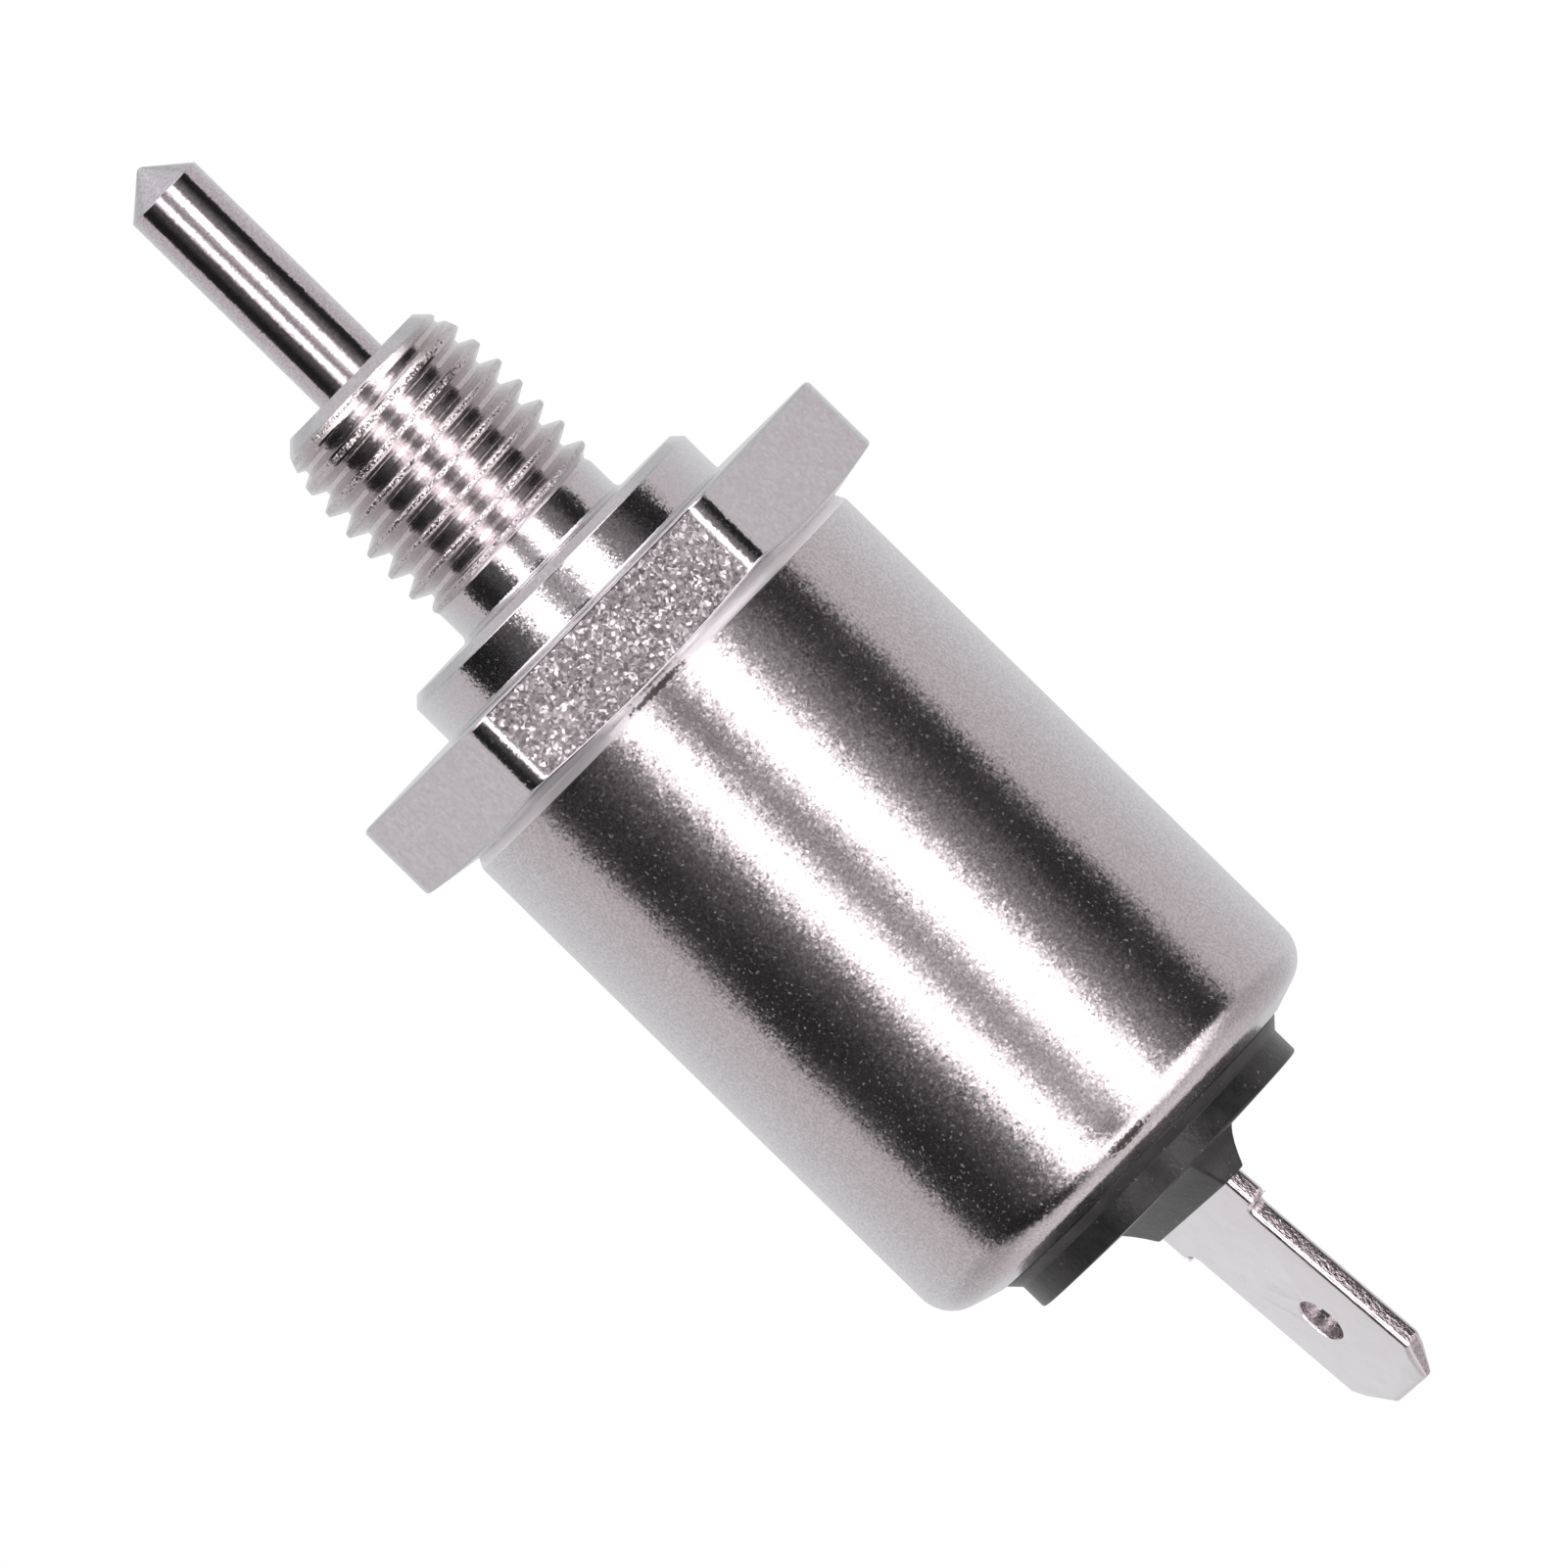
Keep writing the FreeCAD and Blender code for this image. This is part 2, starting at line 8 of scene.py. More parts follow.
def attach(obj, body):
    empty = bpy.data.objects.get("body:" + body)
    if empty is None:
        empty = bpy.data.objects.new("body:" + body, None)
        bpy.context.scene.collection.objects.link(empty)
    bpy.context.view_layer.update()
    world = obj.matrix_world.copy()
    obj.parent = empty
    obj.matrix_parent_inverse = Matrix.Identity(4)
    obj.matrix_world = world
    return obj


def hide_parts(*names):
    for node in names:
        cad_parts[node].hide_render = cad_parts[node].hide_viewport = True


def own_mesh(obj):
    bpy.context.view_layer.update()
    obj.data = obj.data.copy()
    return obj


# Looks of the fuel shutoff solenoid. The frame holds its pieces in metres, +Z along the needle pin and
# the origin in the seating face of the collar. Sizes below are millimetres and are scaled by MM.

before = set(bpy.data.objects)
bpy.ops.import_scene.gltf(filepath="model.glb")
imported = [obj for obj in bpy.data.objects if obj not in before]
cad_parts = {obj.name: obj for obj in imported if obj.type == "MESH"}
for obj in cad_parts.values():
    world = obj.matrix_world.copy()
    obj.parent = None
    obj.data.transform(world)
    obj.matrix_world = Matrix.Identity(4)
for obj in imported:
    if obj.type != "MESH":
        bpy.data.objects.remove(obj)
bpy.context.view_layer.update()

MM = 0.001
EDGE_BREAK = 0.05

# Valve body
BORE_RADIUS = 1.6
BORE_CHAMFER = 0.2
STUD_END = 9.17
STUD_RADIUS = 3.965
STUD_FACE_RADIUS = 2.985
THREAD_PITCH = 1.0
THREAD_START = 0.95
THREAD_LOW = 0.9
RUN_OUT_END = 1.3
RUN_OUT_LENGTH = 0.7
CREST_SHARE = 0.1
# Half a pitch of the thread, round at crest and root: (pitches from the crest, depth below it)
THREAD_PROFILE = ((0.0, 0.0), (0.06, 0.004), (0.1, 0.028), (0.13, 0.075), (0.19, 0.185), (0.25, 0.295),
                  (0.31, 0.405), (0.36, 0.503), (0.385, 0.552), (0.4, 0.58), (0.42, 0.596), (0.5, 0.6))
# Envelope of the thread near the end face of the stud: (height, radius)
LEAD_IN = ((6.0, STUD_RADIUS), (6.93, 3.87), (7.83, 3.76), (8.73, 3.425), (STUD_END, STUD_FACE_RADIUS))
NECK_RADIUS = 3.66
NECK_ROOT_RADIUS = 0.3
COLLAR_RADIUS = 6.51
COLLAR_CHAMFER = 0.34
COLLAR_FACE_EDGE = 0.06
COLLAR_SIDE_EDGE = 0.1
COLLAR_ROOT_RADIUS = 0.2
HEX_FRONT = -1.98
HEX_REAR = -5.2
HEX_IN_RADIUS = 9.5
HEX_CORNER_RADIUS = 0.92
HEX_CORNER_CROWN = 1.44
HEX_CROWN_ANGLE = 12
HEX_EDGE_RADIUS = 0.18
HEX_REAR_ANGLE = 10
HEX_REAR_EDGE = 0.15
SHOULDER_END = -5.38
SHOULDER_STEP = 0.01
SHOULDER_EDGE = 0.04
SPIGOT_RADIUS = 8.11
SPIGOT_END = -7.88
SPIGOT_CHAMFER = 0.3
GROOVE_RADIUS = 5.24
GROOVE_FLOOR = -6.73
TUBE_SOCKET_RADIUS = 4.02
TUBE_SOCKET_FLOOR = -3.4

# Can
CAN_RADIUS = 8.83
CAN_WALL = 0.7
CAN_CORNER_RADIUS = 1.5
CAN_CORNER_HEIGHT = -26.63
CRIMP_ANGLE = 18
CRIMP_RADIUS = 6.57
LIP_EDGE_RADIUS = 0.16
SEAM_DEPTH = 0.1
# Round front edge of the can: (radius, depth behind the shoulder)
CAN_FRONT_EDGE = ((8.62, 0.0), (8.66, 0.05), (8.715, 0.15), (8.77, 0.26), (8.812, 0.36), (8.83, 0.44))

# Needle pin
PIN_RADIUS = 1.5
PIN_REACH = 19.36
PIN_HALF_ANGLE = 49.8
PIN_END = -8.45
PIN_END_CHAMFER = 0.2
PIN_TIP_RADIUS = 0.2

# Tail insulator
FLANGE_RADIUS = 7.18
FLANGE_FRONT = -26.15
SEAT_RADIUS = 5.87
SEAT_FLOOR = -26.9
SOCKET_RADIUS = 5.4
SOCKET_FLOOR = -28.25
MOULD_EDGE_RADIUS = 0.04
LIP_CLEARANCE = 0.03
NECK_RING_RADIUS = 6.5
NECK_RING_EDGE = 0.06
DISC_RADIUS = 6.12
DISC_FRONT_EDGE = 0.08
DISC_REAR_EDGE = 0.1
TAPER_RUN = 0.4
DISC_HEIGHT = 0.98
DISC_CROWN = 0.2
# Points that round the disc's crown: (share of the disc's radius, share of the crown)
DISC_CROWN_POINTS = ((0.75, 0.4), (0.45, 0.8))
DISC_CROWN_FILLET = 1.0
BOSS_BASE = (9.3, 2.0)
BOSS_END = (7.85, 1.02)
BOSS_HEIGHT = 1.37
BOSS_CORNER_RADIUS = 0.14
# Root fillet, draft and soft end of the boss: (share of its height, growth of both its sides)
BOSS_PROFILE = ((-0.3, 0.42), (0.0, 0.38), (0.05, 0.3), (0.12, 0.22), (0.25, 0.12), (0.45, 0.04), (0.7, 0.0),
                (0.95, 0.0), (0.98, -0.02), (1.0, -0.06))
SLOT_CLEARANCE = 0.02

# Blade terminal
TERMINAL_TURN = -66.7
TERMINAL_LEAN = 4.15
TERMINAL_BEND_DEPTH = 0.35
TERMINAL_THICKNESS = 0.8
ROOT_WIDTH = 7.65
ROOT_REACH = 1.19
ROOT_CORNER_RADIUS = 0.15
SHOULDER_CORNER_RADIUS = 0.3
BLADE_WIDTH = 6.3
BLADE_LENGTH = 8.4
POINT_LENGTH = 1.3
POINT_WIDTH = 3.3
POINT_CORNER_RADIUS = 0.25
BLADE_EDGE_RADIUS = 0.2
BEVEL_LENGTH = 0.9
BEVEL_DEPTH = 0.22
BEVEL_SUPPORT = 0.08
HOLE_RADIUS = 0.9
HOLE_FROM_TIP = 3.9
# Soft edge of the hole: (growth of its radius, height past the blade's face)
HOLE_EDGE = ((0.0, -0.08), (0.01, -0.04), (0.04, 0.0), (0.24, 0.2))
TAG_WIDTH = 3.0
TAG_LENGTH = 1.0
TAG_CORNER_RADIUS = 0.1

# Return spring
SPRING_WIRE = 0.4
SPRING_RADIUS = 1.8
SPRING_TOP = -10.17
SPRING_BOTTOM = -20.68
SPRING_CLOSED_TURNS = 1.25
SPRING_CLOSED_PITCH = 1.05 * SPRING_WIRE
SPRING_ACTIVE_TURNS = 6.0

LIP_EDGE_HEIGHT = (CAN_CORNER_HEIGHT - CAN_CORNER_RADIUS / math.cos(math.radians(CRIMP_ANGLE))
                   - (CAN_RADIUS - CAN_CORNER_RADIUS - CRIMP_RADIUS) * math.tan(math.radians(CRIMP_ANGLE)))
DISC_FRONT = LIP_EDGE_HEIGHT - TAPER_RUN
DISC_REAR = DISC_FRONT - DISC_HEIGHT
BOSS_REAR = DISC_REAR - BOSS_HEIGHT
TERMINAL_PIVOT = DISC_FRONT - TERMINAL_BEND_DEPTH


# Meshes

SUPPORT_SHARE = 0.2
FILLET_RUN_SHARE = 0.45
WELD_DISTANCE = 4e-7


def rounded(corners, steps=6):
    """Outline of (radius, height) points from corners that are (radius, height, fillet).

    A point just before and after each fillet keeps the shading of what it joins flat."""
    points = []
    for index, (radius, height, fillet) in enumerate(corners):
        corner = Vector((radius, height))
        if not fillet:
            points.append(corner)
            continue
        back = Vector(corners[index - 1][:2]) - corner
        ahead = Vector(corners[(index + 1) % len(corners)][:2]) - corner
        half = back.angle(ahead) / 2
        run = min(fillet / math.tan(half), FILLET_RUN_SHARE * back.length, FILLET_RUN_SHARE * ahead.length)
        fillet = run * math.tan(half)
        support = SUPPORT_SHARE * run
        back.normalize()
        ahead.normalize()
        centre = corner + (back + ahead).normalized() * (fillet / math.sin(half))
        first = corner + back * run - centre
        last = corner + ahead * run - centre
        points.append(corner + back * (run + support))
        for step in range(steps + 1):
            share = step / steps
            sweep = math.pi - 2 * half
            blend = (math.sin((1 - share) * sweep) * first + math.sin(share * sweep) * last) / math.sin(sweep)
            points.append(centre + blend)
        points.append(corner + ahead * (run + support))
    return points


def add_rings(work, rings, closed, pitch_rows=0):
    """Quads between rings of points.

    With pitch_rows a ring's end meets the ring that many rows on, as on a screw."""
    count = len(rings[0])
    grid = [[work.verts.new(point) for point in ring] for ring in rings]
    rows = len(grid)
    for row in range(rows if closed else rows - 1):
        above = (row + 1) % rows
        for column in range(count):
            if column + 1 < count:
                corners = (grid[row][column], grid[row][column + 1],
                           grid[above][column + 1], grid[above][column])
            else:
                turn_low = grid[min(row + pitch_rows, rows - 1)][0]
                turn_high = grid[min(above + pitch_rows, rows - 1)][0]
                if turn_low is turn_high:
                    corners = (grid[row][column], turn_low, grid[above][column])
                else:
                    corners = (grid[row][column], turn_low, turn_high, grid[above][column])
            work.faces.new(corners)


def cap_ends(work, count):
    """Closes the first and the last ring of a tube whose rings have this many points."""
    work.verts.ensure_lookup_table()
    work.faces.new(work.verts[:count])
    work.faces.new(work.verts[-count:])


def smooth(mesh, sharp_angle):
    mesh.shade_smooth()
    mesh.set_sharp_from_angle(angle=math.radians(sharp_angle))


def to_object(name, work, sharp_angle=35):
    """Welds the work mesh, turns its faces outwards and makes a smooth-shaded object of it."""
    bmesh.ops.remove_doubles(work, verts=work.verts, dist=WELD_DISTANCE)
    bmesh.ops.dissolve_degenerate(work, edges=work.edges, dist=WELD_DISTANCE)
    bmesh.ops.recalc_face_normals(work, faces=work.faces)
    mesh = bpy.data.meshes.new(name)
    work.to_mesh(mesh)
    work.free()
    smooth(mesh, sharp_angle)
    piece = bpy.data.objects.new(name, mesh)
    bpy.context.scene.collection.objects.link(piece)
    return piece


def evaluated_mesh(holder):
    """Mesh of an object with its modifiers or its curve's bevel applied."""
    bpy.context.view_layer.update()
    graph = bpy.context.evaluated_depsgraph_get()
    return bpy.data.meshes.new_from_object(holder.evaluated_get(graph))


def combine(piece, other, operation):
    """Applies an exact boolean with another object and removes that object."""
    modifier = piece.modifiers.new("combine", "BOOLEAN")
    modifier.operation = operation
    modifier.solver = "EXACT"
    modifier.object = other
    mesh = evaluated_mesh(piece)
    piece.modifiers.clear()
    piece.data = mesh
    bpy.data.objects.remove(other)


def point_at(radius, height, turn):
    return Vector((radius * math.cos(turn), radius * math.sin(turn), height)) * MM


def ring_of(radius_height, turns):
    """Points at one (radius, height) for each turn about the axis."""
    return [point_at(*radius_height, turn) for turn in turns]


def even_turns(count):
    return [2 * math.pi * index / count for index in range(count)]


def reach_of(point):
    """Distance of a point of a mesh from the axis, in millimetres."""
    return math.hypot(point.x, point.y) / MM


def lathe(name, outline, count=256, closed=True):
    """Solid of revolution of an outline of (radius, height) points."""
    work = bmesh.new()
    turns = even_turns(count)
    add_rings(work, [ring_of(point, turns) for point in outline], closed)
    return to_object(name, work)


# Valve body: one mesh from the bore, over the thread, collar and hexagon, to the spigot and back

def hex_corner():
    """Centres of a corner's crown arc and side arc, in a frame whose first axis points at the corner."""
    middle = math.radians(HEX_CROWN_ANGLE)
    side = math.radians(30)
    depth = (HEX_CORNER_RADIUS * (1 - math.cos(side - middle))
             + HEX_CORNER_CROWN * (math.cos(side - middle) - math.cos(side)))
    crown = Vector(((HEX_IN_RADIUS - depth) / math.cos(side) - HEX_CORNER_CROWN, 0))
    towards_side = Vector((math.cos(middle), math.sin(middle)))
    return crown, crown + towards_side * (HEX_CORNER_CROWN - HEX_CORNER_RADIUS)


def hex_corner_angles():
    """Turns from a corner to the end of its crown arc and to the end of its side arc."""
    crown, side = hex_corner()
    middle = math.radians(HEX_CROWN_ANGLE)
    crown_end = crown + Vector((math.cos(middle), math.sin(middle))) * HEX_CORNER_CROWN
    side_end = side + Vector((math.cos(math.radians(30)), 0.5)) * HEX_CORNER_RADIUS
    return math.atan(crown_end.y / crown_end.x), math.atan(side_end.y / side_end.x)


def hex_turns():
    """Turns of the body's columns, close together at the six corners of the hexagon."""
    arc_steps = 3
    flat_steps = 13
    support = 0.22
    crown_end, side_end = [math.degrees(angle) for angle in hex_corner_angles()]
    half = [crown_end * step / arc_steps for step in range(arc_steps)]
    half += [crown_end + (side_end - crown_end) * step / arc_steps for step in range(arc_steps + 1)]
    start = side_end + support
    half += [start + (30 - start) * step / flat_steps for step in range(flat_steps + 1)]
    sector = half + [60 - angle for angle in reversed(half[1:-1])]
    return [math.radians(60 * side + angle) for side in range(6) for angle in sector]


def hex_radius(turn):
    """Distance from the axis to the side of the hexagon, whose corners are rounded."""
    from_corner = (math.degrees(turn) + 30) % 60 - 30
    angle = math.radians(abs(from_corner))
    crown, side = hex_corner()
    crown_end, side_end = hex_corner_angles()
    if angle > side_end:
        return HEX_IN_RADIUS / math.cos(math.radians(30) - angle)
    centre, radius = (crown, HEX_CORNER_CROWN) if angle < crown_end else (side, HEX_CORNER_RADIUS)
    off = angle - math.atan2(centre.y, centre.x)
    return centre.length * math.cos(off) + math.sqrt(radius ** 2 - (centre.length * math.sin(off)) ** 2)


def crest_distance(height, turn):
    """Distance along the axis from the nearest crest of the thread, in pitches."""
    phase = (height - THREAD_START) / THREAD_PITCH - turn / (2 * math.pi)
    return abs(phase - round(phase))


def thread_radius(height, turn):
    """Radius of the rolled M8 x 1 thread, with its lead-in and its run-out towards the neck."""
    from_crest = crest_distance(height, turn)
    for (near, near_depth), (far, far_depth) in zip(THREAD_PROFILE, THREAD_PROFILE[1:]):
        if from_crest <= far:
            radius = STUD_RADIUS - near_depth - (far_depth - near_depth) * (from_crest - near) / (far - near)
            break
    fade = min(max((height - RUN_OUT_END) / RUN_OUT_LENGTH, 0), 1)
    fade = fade * fade * (3 - 2 * fade)
    radius = NECK_RADIUS + (radius - NECK_RADIUS) * fade
    return min(radius, lead_in_radius(height))


def lead_in_radius(height):
    if height <= LEAD_IN[0][0]:
        return STUD_RADIUS
    for (low, low_radius), (high, high_radius) in zip(LEAD_IN, LEAD_IN[1:]):
        if height <= high:
            return low_radius + (high_radius - low_radius) * (height - low) / (high - low)
    return STUD_FACE_RADIUS


def thread_rings(turns):
    """Rings whose rows follow the helix, so that crests and roots lie on rows of points."""
    half_pitch = [share for share, depth in THREAD_PROFILE]
    fractions = half_pitch + [1 - share for share in reversed(half_pitch[1:-1])]
    first_turn = math.floor((THREAD_LOW - THREAD_START) / THREAD_PITCH) - 1
    last_turn = math.ceil((STUD_END - THREAD_START) / THREAD_PITCH)
    rings = []
    for whole in range(first_turn, last_turn + 1):
        for fraction in fractions:
            start = THREAD_START + (whole + fraction) * THREAD_PITCH
            helix = [start + THREAD_PITCH * turn / (2 * math.pi) for turn in turns]
            heights = [min(max(height, THREAD_LOW), STUD_END) for height in helix]
            rings.append([point_at(thread_radius(height, turn), height, turn)
                          for height, turn in zip(heights, turns)])
    return rings, len(fractions)


def body_outline(turn):
    """Outline of the body without its thread, from the neck over the hexagon and back through the bore."""
    outside = hex_radius(turn)
    rear_edge = SHOULDER_END + SHOULDER_STEP + (outside - CAN_RADIUS) * math.tan(math.radians(HEX_REAR_ANGLE))
    return rounded((
        (NECK_RADIUS, THREAD_LOW, 0),
        (NECK_RADIUS, 0, NECK_ROOT_RADIUS),
        (COLLAR_RADIUS - COLLAR_CHAMFER, 0, COLLAR_FACE_EDGE),
        (COLLAR_RADIUS, -COLLAR_CHAMFER, COLLAR_SIDE_EDGE),
        (COLLAR_RADIUS, HEX_FRONT, COLLAR_ROOT_RADIUS),
        (outside, HEX_FRONT, HEX_EDGE_RADIUS),
        (outside, rear_edge, HEX_REAR_EDGE),
        (CAN_RADIUS - SEAM_DEPTH, SHOULDER_END, SHOULDER_EDGE),
        (SPIGOT_RADIUS, SHOULDER_END, EDGE_BREAK),
        (SPIGOT_RADIUS, SPIGOT_END + SPIGOT_CHAMFER, EDGE_BREAK),
        (SPIGOT_RADIUS - SPIGOT_CHAMFER, SPIGOT_END, EDGE_BREAK),
        (GROOVE_RADIUS, SPIGOT_END, EDGE_BREAK),
        (GROOVE_RADIUS, GROOVE_FLOOR, EDGE_BREAK),
        (TUBE_SOCKET_RADIUS, GROOVE_FLOOR, EDGE_BREAK),
        (TUBE_SOCKET_RADIUS, TUBE_SOCKET_FLOOR, EDGE_BREAK),
        (BORE_RADIUS, TUBE_SOCKET_FLOOR, EDGE_BREAK),
        (BORE_RADIUS, STUD_END - BORE_CHAMFER, EDGE_BREAK),
        (BORE_RADIUS + BORE_CHAMFER, STUD_END, EDGE_BREAK),
        (STUD_FACE_RADIUS, STUD_END, 0)))


TURNED_SLOT, HEX_SIDE_SLOT, CREST_SLOT, FLANK_SLOT = range(4)


def body_slot(face):
    """Material slot of a face: sides of the hexagon, crests or flanks of the thread, or what is turned."""
    height = face.center.z / MM
    within_sides = HEX_REAR < height < HEX_FRONT and reach_of(face.center) > HEX_IN_RADIUS - EDGE_BREAK
    from_side = abs((math.degrees(math.atan2(face.normal.y, face.normal.x)) + 60) % 60 - 30)
    if within_sides and from_side < 1 and abs(face.normal.z) < 0.2:
        return HEX_SIDE_SLOT
    if RUN_OUT_END < height < STUD_END - THREAD_PITCH / 2:
        turn = math.atan2(face.center.y, face.center.x)
        return CREST_SLOT if crest_distance(height, turn) < CREST_SHARE else FLANK_SLOT
    return TURNED_SLOT


def make_valve_body():
    work = bmesh.new()
    turns = hex_turns()
    outlines = [body_outline(turn) for turn in turns]
    rings = [[point_at(*outline[row], turn) for outline, turn in zip(outlines, turns)]
             for row in range(len(outlines[0]))]
    add_rings(work, rings, closed=False)
    helix_rings, rows_per_pitch = thread_rings(turns)
    add_rings(work, helix_rings, closed=False, pitch_rows=rows_per_pitch)
    piece = to_object("threaded_valve_body", work)
    for face in piece.data.polygons:
        face.material_index = body_slot(face)
    return piece


# Can

def make_can():
    slope = math.radians(CRIMP_ANGLE)
    inner_radius = CAN_RADIUS - CAN_WALL
    corner_run = CAN_CORNER_RADIUS * math.tan((math.pi / 2 - slope) / 2)
    corner_height = CAN_CORNER_HEIGHT - corner_run
    lip_rise = CAN_WALL / math.cos(slope)
    inner_corner_height = corner_height + lip_rise - CAN_WALL * math.tan(slope)
    outline = rounded((
        (inner_radius, SHOULDER_END, 0),
        *[(radius, SHOULDER_END - depth, 0) for radius, depth in CAN_FRONT_EDGE],
        (CAN_RADIUS, corner_height, CAN_CORNER_RADIUS),
        (CRIMP_RADIUS, LIP_EDGE_HEIGHT, LIP_EDGE_RADIUS),
        (CRIMP_RADIUS, LIP_EDGE_HEIGHT + lip_rise, EDGE_BREAK),
        (inner_radius, inner_corner_height, CAN_CORNER_RADIUS - CAN_WALL)), steps=12)
    piece = lathe("drawn_can", outline, count=288)
    rim_start = SHOULDER_END - CAN_FRONT_EDGE[-2][1]
    # The rounded front edge of the can takes its second material, plating painted near white as a highlight.
    for face in piece.data.polygons:
        if face.center.z / MM > rim_start and reach_of(face.center) > CAN_FRONT_EDGE[0][0]:
            face.material_index = 1
    return piece


# Needle pin

def make_pin():
    point_run = PIN_RADIUS / math.tan(math.radians(PIN_HALF_ANGLE))
    tip_centre = PIN_REACH - PIN_TIP_RADIUS / math.sin(math.radians(PIN_HALF_ANGLE))
    tip_steps = 6
    tip_turns = [math.radians(90 - PIN_HALF_ANGLE) * step / tip_steps for step in range(tip_steps + 1)]
    tip = [(PIN_TIP_RADIUS * math.sin(turn), tip_centre + PIN_TIP_RADIUS * math.cos(turn), 0)
           for turn in tip_turns]
    outline = rounded((
        *tip,
        (PIN_RADIUS, PIN_REACH - point_run, EDGE_BREAK),
        (PIN_RADIUS, PIN_END + PIN_END_CHAMFER, EDGE_BREAK),
        (PIN_RADIUS - PIN_END_CHAMFER, PIN_END, EDGE_BREAK),
        (0, PIN_END, 0)))
    return lathe("polished_needle_pin", outline, count=96, closed=False)


# Tail insulator

def terminal_offset(height):
    """Distance of the leaning terminal from the axis at a height."""
    return (TERMINAL_PIVOT - height) * math.tan(math.radians(TERMINAL_LEAN))


def terminal_turned():
    return Matrix.Rotation(math.radians(TERMINAL_TURN), 4, "Z")


def rounded_rectangle(width, thickness, corner, offset, height):
    """Ring of points with round corners, moved sideways by the offset."""
    points = []
    steps = 4
    for side_x, side_y, first in ((1, 1, 0), (-1, 1, 90), (-1, -1, 180), (1, -1, 270)):
        for step in range(steps + 1):
            turn = math.radians(first + 90 * step / steps)
            x = side_x * (width / 2 - corner) + corner * math.cos(turn)
            y = side_y * (thickness / 2 - corner) + corner * math.sin(turn)
            points.append(Vector((x, y + offset, height)) * MM)
    return points


def boss_mesh():
    """Tapered boss as a closed mesh that starts inside the disc."""
    work = bmesh.new()
    rings = []
    for share, grow in BOSS_PROFILE:
        height = DISC_REAR + (BOSS_REAR - DISC_REAR) * share
        width = BOSS_BASE[0] + (BOSS_END[0] - BOSS_BASE[0]) * share + grow
        thickness = BOSS_BASE[1] + (BOSS_END[1] - BOSS_BASE[1]) * share + grow
        offset = terminal_offset(BOSS_REAR) * max(share, 0)
        rings.append(rounded_rectangle(width, thickness, BOSS_CORNER_RADIUS, offset, height))
    add_rings(work, rings, closed=False)
    cap_ends(work, len(rings[0]))
    work.transform(terminal_turned())
    return to_object("boss_form", work)


def plate_block(grow):
    """Plain slot for the terminal, from its tag to beyond the boss."""
    past_boss = 1.0
    work = bmesh.new()
    bmesh.ops.create_cube(work, size=1)
    top = SOCKET_FLOOR - TERMINAL_PIVOT - ROOT_REACH + grow
    bottom = BOSS_REAR - TERMINAL_PIVOT - past_boss
    scale = Vector((ROOT_WIDTH + 2 * grow, TERMINAL_THICKNESS + 2 * grow, top - bottom)) * MM
    work.transform(Matrix.Translation((0, 0, (top + bottom) / 2 * MM)) @ Matrix.Diagonal((*scale, 1)))
    work.transform(place_terminal())
    return to_object("slot_form", work)


def place_terminal():
    """Leans a plate about its pivot and turns it to its direction."""
    return (terminal_turned() @ Matrix.Translation((0, 0, TERMINAL_PIVOT * MM))
            @ Matrix.Rotation(math.radians(TERMINAL_LEAN), 4, "X"))


def make_insulator():
    lip_inside = LIP_EDGE_HEIGHT + CAN_WALL / math.cos(math.radians(CRIMP_ANGLE)) + LIP_CLEARANCE
    flange_edge = lip_inside + (FLANGE_RADIUS - CRIMP_RADIUS) * math.tan(math.radians(CRIMP_ANGLE))
    crown = [(DISC_RADIUS * across, DISC_REAR - DISC_CROWN * down, DISC_CROWN_FILLET)
             for across, down in DISC_CROWN_POINTS]
    outline = rounded((
        (0, SOCKET_FLOOR, 0),
        (SOCKET_RADIUS, SOCKET_FLOOR, NECK_RING_EDGE),
        (SOCKET_RADIUS, SEAT_FLOOR, MOULD_EDGE_RADIUS),
        (SEAT_RADIUS, SEAT_FLOOR, MOULD_EDGE_RADIUS),
        (SEAT_RADIUS, FLANGE_FRONT, MOULD_EDGE_RADIUS),
        (FLANGE_RADIUS, FLANGE_FRONT, EDGE_BREAK),
        (FLANGE_RADIUS, flange_edge, EDGE_BREAK),
        (NECK_RING_RADIUS, lip_inside, MOULD_EDGE_RADIUS),
        (NECK_RING_RADIUS, LIP_EDGE_HEIGHT, NECK_RING_EDGE),
        (DISC_RADIUS, DISC_FRONT, DISC_FRONT_EDGE),
        (DISC_RADIUS, DISC_REAR, DISC_REAR_EDGE),
        *crown,
        (0, DISC_REAR - DISC_CROWN, 0)), steps=4)
    piece = lathe("black_tail_insulator", outline, count=192, closed=False)
    combine(piece, boss_mesh(), "UNION")
    combine(piece, plate_block(SLOT_CLEARANCE), "DIFFERENCE")
    smooth(piece.data, 32)
    return piece


# Blade terminal

